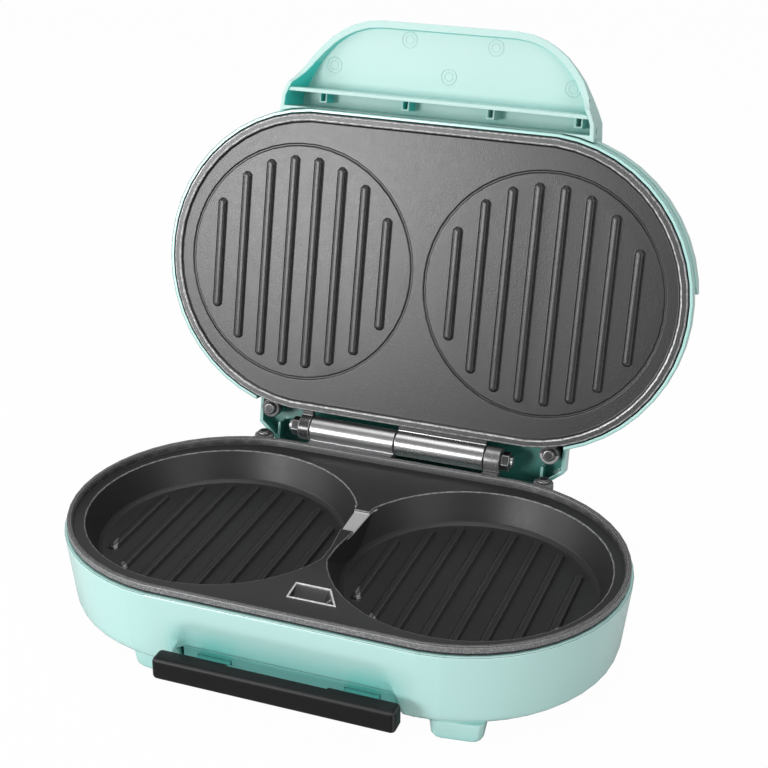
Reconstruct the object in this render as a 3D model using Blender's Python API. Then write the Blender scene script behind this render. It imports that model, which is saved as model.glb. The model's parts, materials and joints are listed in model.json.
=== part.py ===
"""A hamburger maker with two round wells, standing with its lid open.

Both housings, both plates, the hinge, the tray, the heaters and the fasteners are separate pieces.
The lid pieces are drawn closed and hang on an empty on the hinge axis, which turns them open.
Lengths are in metres. +X runs along the plates, +Y to the hinge and +Z up from the table.
"""

import bmesh
import bpy
from math import cos, pi, radians, sin, sqrt
from mathutils import Matrix, Vector

MM = 0.001

# Outline shared by the plates and the housings: a straight stretch with a half circle at each end.
straight_half = 58.3 * MM
plate_radius = 76.2 * MM
outline_segments = 48

# Gaps between pieces that touch, and how far a cutter runs past what it cuts.
touch_gap = 0.3 * MM
overrun = 1.0 * MM
weld_depth = 0.8 * MM
level_step = 0.02 * MM

# Lid position.
open_angle = radians(102.35)
closed_gap = 0.8 * MM

# Lower housing.
floor_clearance = 10.6 * MM
housing_height = 37.0 * MM
housing_overhang = 1.4 * MM
housing_draft = 3.4 * MM
housing_wall = 2.4 * MM
housing_edge_radius = 5.0 * MM
housing_lip_round = 0.6 * MM
edge_steps = 4

# Feet moulded on the housing, with a rubber pad let into each.
foot_width = 23.0 * MM
foot_depth = 17.0 * MM
foot_inset = 13.5 * MM
foot_out_left = 63.5 * MM
foot_out_right = 77.5 * MM
foot_toe = radians(8.0)
foot_corner = 4.0 * MM
foot_sole_round = 3.0 * MM
pad_radius = 5.5 * MM
pad_height = 2.4 * MM
pad_proud = 0.5 * MM

# Scooped recess in the front wall, behind the tray's bar.
scoop_half_width = 57.0 * MM
scoop_rise = 27.5 * MM
scoop_depth = 7.0 * MM
scoop_corner = 7.0 * MM
scoop_top_half_width = 53.0 * MM
liner_front_share = 0.75

# Lower plate.
rim_height = 4.1 * MM
rim_width = 2.4 * MM
rim_round = 0.5 * MM
land_drop = 3.6 * MM
land_thickness = 3.2 * MM
slab_inset = 0.5 * MM
well_shift = 3.7 * MM
well_margin = 11.4 * MM
well_draft = 5.8 * MM
well_depth = 15.1 * MM
well_wall = 3.0 * MM
well_round = 1.5 * MM
bowl_taper_share = 0.6
well_segments = 48

# Bridge between the wells, with the shallow notch across it.
bridge_rear_width = 9.4 * MM
bridge_shoulder_width = 8.0 * MM
bridge_middle_width = 6.4 * MM
bridge_neck_width = 2.6 * MM
bridge_front_width = 3.0 * MM
bridge_rear = 31.0 * MM
bridge_shoulder = 25.0 * MM
bridge_middle = 5.0 * MM
bridge_neck = -12.0 * MM
bridge_front = -23.5 * MM
notch_rear = 25.0 * MM
notch_front = 5.6 * MM
notch_depth = 1.3 * MM

# Fat drain at the front of the lower plate.
drain_left = -3.2 * MM
drain_rear_right = 12.4 * MM
drain_front_right = 18.6 * MM
drain_rear_margin = 29.6 * MM
drain_front_margin = 18.8 * MM
drain_front_left = -2.6 * MM
drain_taper = 0.4 * MM
drain_ramp = 5.8 * MM

# Cooking ribs.
rib_count = 8
rib_pitch_share = 0.248
rib_end_gap = 8.0 * MM
rib_width = 5.6 * MM
rib_top_width = 3.2 * MM
rib_height = 1.8 * MM
rib_segments = 8
rib_shoulder = 0.5 * MM

# Upper plate.
upper_rim_width = 4.0 * MM
upper_recess = 1.5 * MM
upper_thickness = 3.5 * MM
ring_shift = 5.2 * MM
ring_margin = 16.2 * MM
ring_width = 1.2 * MM
ring_depth = 0.8 * MM
ring_segments = 48

# Hinge.
hinge_reach = 9.3 * MM
hinge_above_rim = 3.8 * MM
barrel_radius = 6.5 * MM
barrel_segments = 20
axle_radius = 3.0 * MM
axle_clearance = 0.25 * MM
axle_thread = 1.5 * MM
knuckle_gap = 0.5 * MM
knuckle_left = -57.0 * MM
knuckle_left_split = -50.5 * MM
knuckle_middle_split = -4.0 * MM
knuckle_right_split = 43.5 * MM
knuckle_right = 52.0 * MM
web_thickness = 3.5 * MM
web_inset = 2.5 * MM
upper_web_lift = 2.2 * MM
nut_radius = 5.0 * MM
nut_thickness = 4.0 * MM
nut_sides = 6

# Screw lugs at the rear corners of both plates.
lug_past_end = 17.0 * MM
lug_past_rim = 2.4 * MM
lower_lug_drop = 0.5 * MM
lug_radius = 5.0 * MM
upper_lug_thickness = 5.6 * MM
lug_segments = 20
upper_lug_lift = 3.1 * MM
boss_radius = 4.6 * MM
boss_length = 16.6 * MM
boss_tip = 4.0 * MM
boss_tip_share = 0.5
lug_web_half = 3.5 * MM
lug_web_inset = 5.6 * MM
upper_lug_web_inset = 10.0 * MM
upper_lug_web_rise = 0.9 * MM

# Screws.
screw_head_radius = 3.3 * MM
screw_head_height = 1.7 * MM
screw_shank_radius = 1.5 * MM
screw_length = 9.0 * MM
short_screw_length = 6.5 * MM
screw_head_shoulder_share = 0.6
screw_head_crown_share = 0.75
screw_clearance = 0.35 * MM
screw_segments = 10

# Lid shell.
lip_lift = 0.6 * MM
plate_to_lip = 0.5 * MM
skirt_wall = 1.7 * MM
skirt_height = 6.9 * MM
skirt_inner_height = 5.6 * MM
lip_round = 0.3 * MM
shell_wall = 2.2 * MM
shell_margin = 0.2 * MM
shell_height = 32.2 * MM
shell_dome_shares = (
    (1.0, 0.2236),
    (0.9921, 0.3106),
    (0.962, 0.4814),
    (0.9031, 0.6522),
    (0.8115, 0.8075),
    (0.6806, 0.9161),
    (0.4974, 0.9783),
    (0.2618, 1.0),
)

# Hood at the rear of the lid shell, over the hinge.
hood_side_margin = 7.7 * MM
hood_rear_narrowing = 13.0 * MM
hood_past_hinge = 13.0 * MM
hood_root = 10.2 * MM
hood_corner_past_hinge = 2.5 * MM
hood_lift = 7.4 * MM
hood_height = 10.8 * MM
hood_wall = 2.0 * MM
hood_round = 3.5 * MM
hood_cut_inset = 3.8 * MM
hood_cut_side = 0.5 * MM
hood_rib_inset = 4.5 * MM
hood_rib_thickness = 1.4 * MM
hood_rib_past_hinge = 1.0 * MM
hood_shoulder_share = 0.3

# Front cover of the lid with the handle.
cover_wall = 2.2 * MM
cover_margin = 3.0 * MM
cover_height = 38.0 * MM
cover_dome_shares = (
    (1.0, 0.1921),
    (0.9975, 0.3947),
    (0.9773, 0.5789),
    (0.928, 0.7368),
    (0.8396, 0.8553),
    (0.6944, 0.9368),
    (0.4798, 0.9789),
    (0.2525, 1.0),
)
cover_rear = -9.0 * MM
cover_rear_wall = 2.0 * MM
cover_clearance = 0.45 * MM
cover_recess = 0.6 * MM
cover_corner = 4.0 * MM
cover_corner_reach = 14.0 * MM
handle_half = 80.5 * MM
handle_reach = 47.6 * MM
handle_shares = (
    (1.0, -0.3),
    (1.0, 0.02),
    (0.993, 0.165),
    (0.967, 0.267),
    (0.926, 0.403),
    (0.872, 0.561),
    (0.822, 0.668),
    (0.756, 0.784),
    (0.686, 0.87),
    (0.615, 0.934),
    (0.524, 0.983),
    (0.422, 1.0),
)
handle_lift = 1.8 * MM
handle_height = 22.6 * MM
handle_fall = 4.2 * MM
handle_wall = 2.0 * MM
handle_roof = 2.6 * MM
handle_draft = 1.8 * MM
handle_round = 3.0 * MM
handle_shoulder_share = 0.3
handle_lip = 4.2 * MM
handle_sweep_shares = (
    (0.3, 0.0),
    (0.33, 0.22),
    (0.4, 0.56),
    (0.48, 0.76),
    (0.57, 0.87),
    (0.68, 0.93),
    (0.84, 0.98),
    (1.0, 1.0),
)
ledge_reach = 11.6 * MM
ledge_thickness = 1.8 * MM
ledge_lift = 0.4 * MM
hook_count = 4
hook_pitch = 44.0 * MM
hook_shift = 4.0 * MM
hook_width = 4.2 * MM
hook_reach = 5.2 * MM
hook_wall = 1.0 * MM
hook_drop = 8.0 * MM

# Indicator lenses in the cover, with a lamp under each.
lens_pitch = 24.0 * MM
lens_forward = 34.0 * MM
lens_radius = 4.0 * MM
lens_flange = 1.0 * MM
lens_flange_height = 0.8 * MM
lens_length = 5.0 * MM
lens_clearance = 0.2 * MM
lamp_radius = 2.9 * MM
lamp_length = 9.0 * MM
lamp_top = 31.6 * MM
lamp_clearance = 0.5 * MM

# Tubular heaters: one under the lower plate and one behind the upper plate.
heater_radius = 3.2 * MM
heater_loop_inset = 21.0 * MM
heater_end_angle = radians(45.0)
heater_tail = 24.0 * MM
heater_loop_steps = 17
heater_hump_steps = 6
tube_sides = 8
lead_sides = 6
clamp_overhang = 6.0 * MM
clamp_width = 12.0 * MM
clamp_thickness = 1.2 * MM
clamp_boss_radius = 5.0 * MM

# Reflector sheet behind the upper heater.
reflector_thickness = 0.6 * MM
reflector_inset = 11.5 * MM
reflector_stand_off = 1.2 * MM
reflector_screw_inset = 24.2 * MM
reflector_boss_radius = 4.0 * MM
reflector_slot_half = 21.0 * MM
reflector_slot_front = -8.0 * MM
reflector_slot_rear = 24.0 * MM

# Tunnel that the tray slides in, and the tray.
tunnel_clearance = 3.5 * MM
tunnel_height = 8.9 * MM
tunnel_sheet = 0.6 * MM
tunnel_end_gap = 1.0 * MM
tunnel_rear = 6.0 * MM
tunnel_foot = 5.0 * MM
tunnel_opening_margin = 3.5 * MM
stud_radius = 1.3 * MM
stud_height = 2.2 * MM
stud_places = (-44.0 * MM, -10.0 * MM)
tray_centre = 1.8 * MM
tray_corner = 2.2 * MM
tray_corner_steps = 4
tray_side_clearance = 1.2 * MM
tray_height = 6.8 * MM
tray_wall = 1.5 * MM
tray_rear = -12.0 * MM
tray_taper = 0.5 * MM
tray_slot_clearance = 0.4 * MM
bar_half_length = 56.6 * MM
bar_reach = 11.8 * MM
bar_depth = 9.4 * MM
bar_lift = 2.4 * MM
bar_height = 11.1 * MM
bar_round = 2.2 * MM
bar_notch_half = 23.5 * MM
bar_notch_depth = 2.4 * MM
bar_notch_height = 5.0 * MM
tongue_place = 35.0 * MM
tongue_width = 16.0 * MM
tongue_thickness = 1.8 * MM
tongue_length = 5.0 * MM

# Electrical pieces in the base.
gland_across = 42.0 * MM
gland_height = 20.0 * MM
gland_body_radius = 5.2 * MM
gland_flange_radius = 7.6 * MM
gland_bore_radius = 3.5 * MM
gland_flange_length = 4.0 * MM
gland_inner_length = 8.0 * MM
gland_segments = 20
block_width = 34.0 * MM
block_depth = 14.0 * MM
block_height = 11.0 * MM
block_inset = 25.6 * MM
thermostat_radius = 8.5 * MM
thermostat_height = 7.0 * MM
thermostat_inset = 24.2 * MM
fuse_radius = 2.8 * MM
fuse_length = 24.0 * MM
fuse_inset = 10.2 * MM
lead_radius = 1.2 * MM
lead_straight = 4.0 * MM
block_cradle_thickness = 1.6 * MM
block_cradle_height = 5.0 * MM
cord_clamp_length = 24.0 * MM
cord_clamp_depth = 7.0 * MM
cord_clamp_height = 3.5 * MM
cord_clamp_inset = 20.6 * MM
cord_post_radius = 3.2 * MM
cord_post_height = 4.0 * MM
cord_post_spacing = 17.0 * MM
vent_count = 5
vent_pitch = 7.0 * MM
vent_length = 26.0 * MM
vent_width = 2.6 * MM
vent_shift = 26.0 * MM
cover_screw_spans = ((11.7 * MM, -20.0 * MM), (-24.3 * MM, -25.0 * MM))
cover_screw_depth = 2.8 * MM
cover_boss_radius = 4.0 * MM

# The box around the open maker, front to back, has its middle here, so the origin stands under it.
box_middle = 28.99 * MM

# Places of the main pieces, all from the outline's two sizes.
housing_top_radius = plate_radius + housing_overhang
housing_bottom_radius = housing_top_radius - housing_draft
foot_along = housing_bottom_radius - foot_inset
well_centre = straight_half + well_shift
well_top_radius = plate_radius - well_margin
well_floor_radius = well_top_radius - well_draft
drain_rear = drain_rear_margin - plate_radius
drain_front = drain_front_margin - plate_radius
ring_centre = straight_half + ring_shift
ring_radius = plate_radius - ring_margin
rib_end_radius = ring_radius - rib_end_gap
rib_pitch = rib_pitch_share * rib_end_radius
hinge_back = plate_radius + hinge_reach
lug_out = straight_half + lug_past_end
lug_back = plate_radius + lug_past_rim
hood_front_half = lug_out + hood_side_margin
hood_rear_half = hood_front_half - hood_rear_narrowing
hood_rear = hinge_back + hood_past_hinge
hood_front = plate_radius - hood_root
hood_corner_back = hinge_back + hood_corner_past_hinge
ledge_front = -plate_radius - ledge_reach
heater_loop = well_centre - heater_loop_inset
tunnel_half_width = well_centre - clamp_width / 2 - tunnel_clearance
clamp_length = 2 * (heater_loop + clamp_overhang)
reflector_screw_place = plate_radius - reflector_screw_inset
vent_out = well_centre + vent_shift
block_back = housing_top_radius - block_inset
cord_clamp_back = housing_top_radius - cord_clamp_inset
thermostat_back = plate_radius - thermostat_inset
fuse_back = plate_radius - fuse_inset
bar_front = -housing_top_radius - bar_reach
bar_rear = bar_front + bar_depth

# Levels above the table, lid closed.
housing_floor = floor_clearance + housing_wall
housing_top = floor_clearance + housing_height
plate_seat = housing_top + touch_gap
rim_top = plate_seat + rim_height
land_level = rim_top - land_drop
slab_underside = land_level - land_thickness
well_floor = land_level - well_depth
well_underside = well_floor - well_wall
hinge_level = rim_top + hinge_above_rim
face_level = rim_top + closed_gap
hood_underside = face_level + hood_lift
hood_roof = hood_underside + hood_height
back_level = face_level + upper_recess + upper_thickness
hinge_point = Vector((0, hinge_back, hinge_level))
lower_heater_level = well_underside - touch_gap - heater_radius
upper_heater_level = back_level + touch_gap + heater_radius
tunnel_underside = housing_floor + touch_gap + tunnel_height
tray_floor = housing_floor + 2 * touch_gap
bar_bottom = floor_clearance + bar_lift

# Colours as red, green and blue, with roughness and metallic value.
LOOKS = {
    "mint_plastic": ((0.42, 0.75, 0.69), 0.32, 0.0),
    "black_plastic": ((0.02, 0.02, 0.021), 0.38, 0.0),
    "coated_aluminium": ((0.055, 0.055, 0.058), 0.5, 0.35),
    "steel": ((0.62, 0.62, 0.62), 0.3, 1.0),
    "dark_steel": ((0.06, 0.06, 0.062), 0.4, 0.8),
    "heater_sheath": ((0.2, 0.19, 0.18), 0.5, 0.9),
    "bright_sheet": ((0.75, 0.76, 0.77), 0.25, 1.0),
    "rubber": ((0.03, 0.03, 0.03), 0.85, 0.0),
    "red_lens": ((0.6, 0.02, 0.02), 0.15, 0.0),
    "green_lens": ((0.03, 0.4, 0.08), 0.15, 0.0),
    "lamp_glass": ((0.8, 0.75, 0.7), 0.1, 0.0),
    "ivory_plastic": ((0.75, 0.72, 0.63), 0.45, 0.0),
    "lead_sleeve": ((0.8, 0.8, 0.76), 0.6, 0.0),
}


def clear_scene():
    """Take out the objects that a new file opens with."""
    for old in list(bpy.data.objects):
        bpy.data.objects.remove(old, do_unlink=True)


def make_collection(name):
    """A collection of its own under the scene."""
    group = bpy.data.collections.new(name)
    bpy.context.scene.collection.children.link(group)
    return group


def make_material(name):
    """A Principled material from the table of looks."""
    colour, roughness, metallic = LOOKS[name]
    material = bpy.data.materials.new(name)
    material.use_nodes = True
    shader = material.node_tree.nodes["Principled BSDF"]
    shader.inputs["Base Color"].default_value = (*colour, 1.0)
    shader.inputs["Roughness"].default_value = roughness
    shader.inputs["Metallic"].default_value = metallic
    material.diffuse_color = (*colour, 1.0)
    return material


clear_scene()
parts = make_collection("hamburger_maker")
cutters = make_collection("cutters")
materials = {name: make_material(name) for name in LOOKS}


def make_carrier(name, place, turn, parent):
    """An empty that carries pieces, at a place and turned about X."""
    carrier = bpy.data.objects.new(name, None)
    carrier.empty_display_size = boss_radius
    parts.objects.link(carrier)
    carrier.parent = parent
    carrier.location = place
    carrier.rotation_euler = (turn, 0, 0)
    return carrier


stand = make_carrier("stand", (0, -box_middle, 0), 0, None)
lid_hinge = make_carrier("lid_hinge", hinge_point, -open_angle, stand)
carrier_offset = {
    stand: Matrix.Identity(4),
    lid_hinge: Matrix.Translation(-hinge_point),
}


def settle(shape, carrier, look):
    """Hang a shape on its carrier, as a part where it has a look and else as a helper shape."""
    shape.parent = carrier
    shape.matrix_parent_inverse = carrier_offset[carrier]
    if look is None:
        cutters.objects.link(shape)
        shape.hide_render = True
        shape.display_type = "WIRE"
    else:
        parts.objects.link(shape)
        shape.data.materials.append(materials[look])
    return shape


def from_bmesh(name, bm, carrier, look):
    """Make an object of a finished bmesh."""
    bmesh.ops.recalc_face_normals(bm, faces=bm.faces)
    mesh = bpy.data.meshes.new(name)
    bm.to_mesh(mesh)
    bm.free()
    mesh.shade_smooth()
    mesh.set_sharp_from_angle(angle=radians(30.0))
    return settle(bpy.data.objects.new(name, mesh), carrier, look)


def add_ring(bm, radius, level, straight, segments):
    """One oval ring of points: a circle whose halves are moved apart along X."""
    half_step = Matrix.Rotation(pi / segments, 3, "Z")
    ring = bmesh.ops.create_circle(bm, cap_ends=False, segments=segments, radius=radius)["verts"]
    bmesh.ops.rotate(bm, verts=ring, cent=(0, 0, 0), matrix=half_step)
    for point in ring:
        point.co.x += straight if point.co.x > 0 else -straight
        point.co.z = level
    return ring


def skin(bm, rings, closed):
    """Join ring to ring with faces, then close the ends or join the last ring to the first."""
    pairs = list(zip(rings, rings[1:]))
    if closed:
        pairs.append((rings[-1], rings[0]))
    for low, high in pairs:
        for corners in zip(low, low[1:] + low[:1], high[1:] + high[:1], high):
            bm.faces.new(corners)
    if not closed:
        bm.faces.new(reversed(rings[0]))
        bm.faces.new(rings[-1])


def keep_front(bm, back):
    """Cut a body off behind a plane and close the cut."""
    whole = bm.verts[:] + bm.edges[:] + bm.faces[:]
    found = bmesh.ops.bisect_plane(bm, geom=whole, plane_co=(0, back, 0), plane_no=(0, 1, 0),
                                   clear_outer=True)
    rim = [item for item in found["geom_cut"] if isinstance(item, bmesh.types.BMEdge)]
    bmesh.ops.contextual_create(bm, geom=rim)


def oval_body(name, profile, carrier, look=None, straight=straight_half,
              segments=outline_segments, closed=False, place=(0, 0, 0), turn=None, back=None):
    """A body of oval rings, each a radius and a level, then turned, set in place or cut off."""
    bm = bmesh.new()
    rings = [add_ring(bm, radius, level, straight, segments) for radius, level in profile]
    skin(bm, rings, closed)
    if turn is not None:
        bmesh.ops.rotate(bm, verts=bm.verts, cent=(0, 0, 0), matrix=turn)
    bmesh.ops.translate(bm, verts=bm.verts, vec=place)
    if back is not None:
        keep_front(bm, back)
    return from_bmesh(name, bm, carrier, look)


def round_body(name, profile, carrier, look=None, segments=screw_segments, closed=False,
               place=(0, 0, 0), turn=None):
    """A turned body about a vertical line, or about another once it is turned."""
    return oval_body(name, profile, carrier, look, 0, segments, closed, place, turn)


def loft(name, sections, carrier, look=None, back=None):
    """A body through closed outlines with like numbers of points, each given in full."""
    bm = bmesh.new()
    rings = [[bm.verts.new(point) for point in section] for section in sections]
    skin(bm, rings, False)
    if back is not None:
        keep_front(bm, back)
    return from_bmesh(name, bm, carrier, look)


def lift(outline, level):
    """A flat outline at a level."""
    return [(across, along, level) for across, along in outline]


def prism(name, outline, low, high, carrier, look=None):
    """A flat outline raised from one level to another."""
    return loft(name, [lift(outline, low), lift(outline, high)], carrier, look)


def box(name, low, high, carrier, look=None, rounding=0, steps=2):
    """A box between two corners, with its edges rounded."""
    bm = bmesh.new()
    bmesh.ops.create_cube(bm, size=1)
    size = Vector(high) - Vector(low)
    middle = (Vector(high) + Vector(low)) / 2
    bmesh.ops.scale(bm, verts=bm.verts, vec=size)
    bmesh.ops.translate(bm, verts=bm.verts, vec=middle)
    if rounding:
        bmesh.ops.bevel(bm, geom=bm.edges, offset=rounding, segments=steps, profile=0.5,
                        affect="EDGES")
    return from_bmesh(name, bm, carrier, look)


def rod(name, start, end, height, back, radius, carrier, look=None, segments=barrel_segments):
    """A cylinder along X."""
    bm = bmesh.new()
    length = end - start
    bmesh.ops.create_cone(bm, cap_ends=True, segments=segments, radius1=radius, radius2=radius,
                          depth=length)
    bmesh.ops.rotate(bm, verts=bm.verts, cent=(0, 0, 0), matrix=Matrix.Rotation(pi / 2, 3, "Y"))
    bmesh.ops.translate(bm, verts=bm.verts, vec=(start + length / 2, back, height))
    return from_bmesh(name, bm, carrier, look)


def tube(name, points, radius, carrier, look, sides=tube_sides):
    """A round tube along a run of points, its rings twisted as little as can be."""
    points = [Vector(point) for point in points]
    steps = [(after - before).normalized() for before, after in zip(points, points[1:])]
    inner = [(before + after).normalized() for before, after in zip(steps, steps[1:])]
    side = steps[0].orthogonal()
    sections = []
    for point, heading in zip(points, steps[:1] + inner + steps[-1:]):
        side = (side - heading * side.dot(heading)).normalized()
        turns = [2 * pi * step / sides for step in range(sides)]
        sections.append([point + radius * (cos(turn) * side + sin(turn) * heading.cross(side))
                         for turn in turns])
    return loft(name, sections, carrier, look)


def combine(target, other, operation):
    """Join a helper shape to a piece, or cut it out of the piece."""
    step = target.modifiers.new(other.name, "BOOLEAN")
    step.operation = operation
    step.solver = "EXACT"
    step.object = other
    return target


def join(target, *others):
    """Make helper shapes part of a piece."""
    for other in others:
        combine(target, other, "UNION")


def cut(target, *others):
    """Cut helper shapes out of a piece."""
    for other in others:
        combine(target, other, "DIFFERENCE")


def both_sides():
    """The left side and the right side, as signs and words."""
    return ((-1, "left"), (1, "right"))


def arc_points(centre, radius, start, end, count):
    """Points of an arc in a plane, ends included."""
    turns = [start + (end - start) * step / (count - 1) for step in range(count)]
    return [(centre[0] + radius * cos(turn), centre[1] + radius * sin(turn)) for turn in turns]


def offset(points, distance, closed=True):
    """Points moved to the right of their run; that is outward where they run counterclockwise."""
    points = [Vector(point) for point in points]
    after = points[1:] + points[:1]
    sides = [Vector((b.y - a.y, a.x - b.x)).normalized() for a, b in zip(points, after)]
    if not closed:
        sides[-1] = sides[-2]
    before = sides[-1:] + sides[:-1] if closed else sides[:1] + sides[:-1]
    return [point + distance * (one + other) / (1 + one.dot(other))
            for point, one, other in zip(points, before, sides)]


def rounded_rectangle(half_width, front, rear, corner, count):
    """A counterclockwise rectangle with round corners."""
    corners = (
        ((half_width - corner, rear - corner), 0),
        ((corner - half_width, rear - corner), pi / 2),
        ((corner - half_width, front + corner), pi),
        ((half_width - corner, front + corner), 3 * pi / 2),
    )
    return [point for centre, start in corners
            for point in arc_points(centre, corner, start, start + pi / 2, count)]


def smooth_run(places, steps=3):
    """Points of a soft curve that passes through each place."""
    places = [Vector(place) for place in places]
    ends = [2 * places[0] - places[1]] + places + [2 * places[-1] - places[-2]]
    run = []
    for before, start, end, after in zip(ends, ends[1:], ends[2:], ends[3:]):
        for step in range(steps):
            share = step / steps
            run.append(0.5 * (2 * start + (end - before) * share
                              + (2 * before - 5 * start + 4 * end - after) * share ** 2
                              + (3 * start - before - 3 * end + after) * share ** 3))
    return run + [places[-1]]


def screw(name, place, seat, carrier, way=1, length=screw_length):
    """A screw whose head sits on a seat level; way is 1 when the head is on top."""
    shoulder = screw_head_shoulder_share * screw_head_height
    profile = [
        (screw_shank_radius, seat - way * length),
        (screw_shank_radius, seat + way * touch_gap),
        (screw_head_radius, seat + way * touch_gap),
        (screw_head_radius, seat + way * (touch_gap + shoulder)),
        (screw_head_crown_share * screw_head_radius, seat + way * (touch_gap + screw_head_height)),
    ]
    return round_body(name, profile, carrier, "dark_steel", place=(*place, 0))


def screw_hole(name, place, low, high, carrier):
    """A hole with room for a screw's shank."""
    radius = screw_shank_radius + screw_clearance
    return round_body(name, [(radius, low), (radius, high)], carrier, place=(*place, 0))


# Lower housing: an oval tub moulded in one piece.
edge_centre = (housing_bottom_radius - housing_edge_radius, floor_clearance + housing_edge_radius)
outer_edge = arc_points(edge_centre, housing_edge_radius, -pi / 2, 0, edge_steps)
inner_edge = arc_points(edge_centre, housing_edge_radius - housing_wall, 0, -pi / 2, edge_steps)
housing_rim = [
    (housing_top_radius, housing_top - housing_lip_round),
    (housing_top_radius - housing_lip_round, housing_top),
    (housing_top_radius - housing_wall, housing_top),
]
lower_housing = oval_body("lower_housing", outer_edge + housing_rim + inner_edge, stand,
                          "mint_plastic")

# The scoop in its front wall leans back toward the floor and has a lining of its own.
housing_slope = (housing_top_radius - housing_bottom_radius) / housing_height
scoop_top = floor_clearance + scoop_rise


def housing_radius(level):
    """Outer radius of the housing's wall at a level."""
    return housing_bottom_radius + housing_slope * (level - floor_clearance)


scoop_root = housing_bottom_radius - scoop_depth
scoop_slope = (housing_radius(scoop_top) - scoop_root) / scoop_rise


def scoop_section(level, grow, front):
    """Outline of the scoop at a level, or of its lining when grown."""
    share = (level - floor_clearance) / scoop_rise
    half = scoop_half_width + (scoop_top_half_width - scoop_half_width) * share + grow
    rear = grow - scoop_root - scoop_slope * (level - floor_clearance)
    bevel = min(scoop_corner, rear - front - level_step)
    outline = [(-half, front), (half, front), (half, rear - bevel), (half - bevel, rear),
               (bevel - half, rear), (-half, rear - bevel)]
    return lift([(tray_centre + across, along) for across, along in outline], level)


liner_sections = [
    scoop_section(level, housing_wall, liner_front_share * housing_wall - housing_radius(level))
    for level in (housing_floor - weld_depth, scoop_top + overrun)
]
scoop_sections = [
    scoop_section(level, 0, -housing_top_radius - scoop_depth)
    for level in (floor_clearance - overrun, scoop_top + overrun)
]
tray_half = tunnel_half_width - tray_side_clearance
tray_top = tray_floor + tray_height
tray_front = -scoop_root - scoop_slope * (tray_top - floor_clearance)
tunnel_front = housing_wall + tunnel_end_gap - scoop_root
slot_half = tray_half + tray_slot_clearance
slot_top = tray_top + tray_slot_clearance
join(lower_housing, loft("scoop_liner", liner_sections, stand))
cut(lower_housing, loft("scoop_cutter", scoop_sections, stand))
cut(lower_housing, box("tray_slot", (tray_centre - slot_half, -housing_top_radius,
                                     housing_floor + level_step),
                       (tray_centre + slot_half, tunnel_front + overrun, slot_top), stand))

# A foot under each corner, with a pocket for its rubber pad.
pad_pocket = pad_radius + touch_gap
for front_way, end_word in ((-1, "front"), (1, "rear")):
    for side_way, side_word in both_sides():
        word = f"{end_word}_{side_word}"
        foot_place = Vector((foot_out_right if side_way > 0 else -foot_out_left,
                             front_way * foot_along))
        turn = Matrix.Rotation(-front_way * side_way * foot_toe, 2)
        sections = []
        for level, grow in ((pad_proud, -foot_sole_round),
                            (pad_proud + foot_sole_round / 3, -foot_sole_round / 3),
                            (pad_proud + foot_sole_round, 0),
                            (floor_clearance + weld_depth, weld_depth)):
            outline = rounded_rectangle(foot_width / 2 + grow, -foot_depth / 2 - grow,
                                        foot_depth / 2 + grow, foot_corner, edge_steps)
            sections.append(lift([turn @ Vector(point) + foot_place for point in outline], level))
        join(lower_housing, loft(f"foot_{word}", sections, stand))
        pocket_profile = [(pad_pocket, -overrun), (pad_pocket, pad_height + touch_gap)]
        cut(lower_housing, round_body(f"pad_pocket_{word}", pocket_profile, stand,
                                      segments=lug_segments, place=(*foot_place, 0)))
        pad_profile = [(pad_radius - pad_proud, 0), (pad_radius, pad_proud), (pad_radius, pad_height)]
        round_body(f"foot_pad_{word}", pad_profile, stand, "rubber", lug_segments,
                   place=(*foot_place, 0))

# Bosses outside the rear wall take the screws of the lower plate.
for side_way, side_word in both_sides():
    lug_place = (side_way * lug_out, lug_back)
    boss_profile = [
        (boss_tip_share * lug_radius, housing_top - boss_length - boss_tip),
        (lug_radius, housing_top - boss_length),
        (lug_radius, housing_top - level_step),
    ]
    join(lower_housing, round_body(f"rear_boss_{side_word}", boss_profile, stand,
                                   segments=lug_segments, place=(*lug_place, 0)))
    cut(lower_housing, screw_hole(f"rear_boss_hole_{side_word}", lug_place,
                                  rim_top - screw_length - overrun, housing_top + overrun, stand))
    screw(f"plate_screw_{side_word}", lug_place, rim_top - lower_lug_drop, stand)

# Vent slots in the floor, under each well.
for side_way, side_word in both_sides():
    for index in range(vent_count):
        along = (index - (vent_count - 1) / 2) * vent_pitch
        middle = side_way * vent_out
        cut(lower_housing, box(f"vent_{side_word}_{index}",
                               (middle - vent_length / 2, along - vent_width / 2,
                                floor_clearance - overrun),
                               (middle + vent_length / 2, along + vent_width / 2,
                                housing_floor + overrun), stand))

# Inside: studs for the tunnel, a cradle for the terminal block and posts for the cord clamp.
stud_out = tunnel_half_width + tunnel_sheet + tunnel_foot / 2
cord_post_top = housing_floor + cord_post_height
for side_way, side_word in both_sides():
    for index, along in enumerate(stud_places):
        stud_profile = [(stud_radius, housing_floor - weld_depth),
                        (stud_radius, housing_floor + stud_height)]
        join(lower_housing, round_body(f"stud_{side_word}_{index}", stud_profile, stand,
                                       place=(tray_centre + side_way * stud_out, along, 0)))
    cradle = sorted(side_way * (block_width / 2 + touch_gap + reach)
                    for reach in (0, block_cradle_thickness))
    join(lower_housing, box(f"cradle_{side_word}",
                            (cradle[0], block_back - block_depth / 2, housing_floor - weld_depth),
                            (cradle[1], block_back + block_depth / 2,
                             housing_floor + block_cradle_height), stand))
    post_place = (gland_across + side_way * cord_post_spacing / 2, cord_clamp_back)
    post_profile = [(cord_post_radius, housing_floor - weld_depth),
                    (cord_post_radius, cord_post_top)]
    join(lower_housing, round_body(f"cord_post_{side_word}", post_profile, stand,
                                   place=(*post_place, 0)))
    cut(lower_housing, screw_hole(f"cord_post_hole_{side_word}", post_place, housing_floor,
                                  cord_post_top + overrun, stand))

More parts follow.
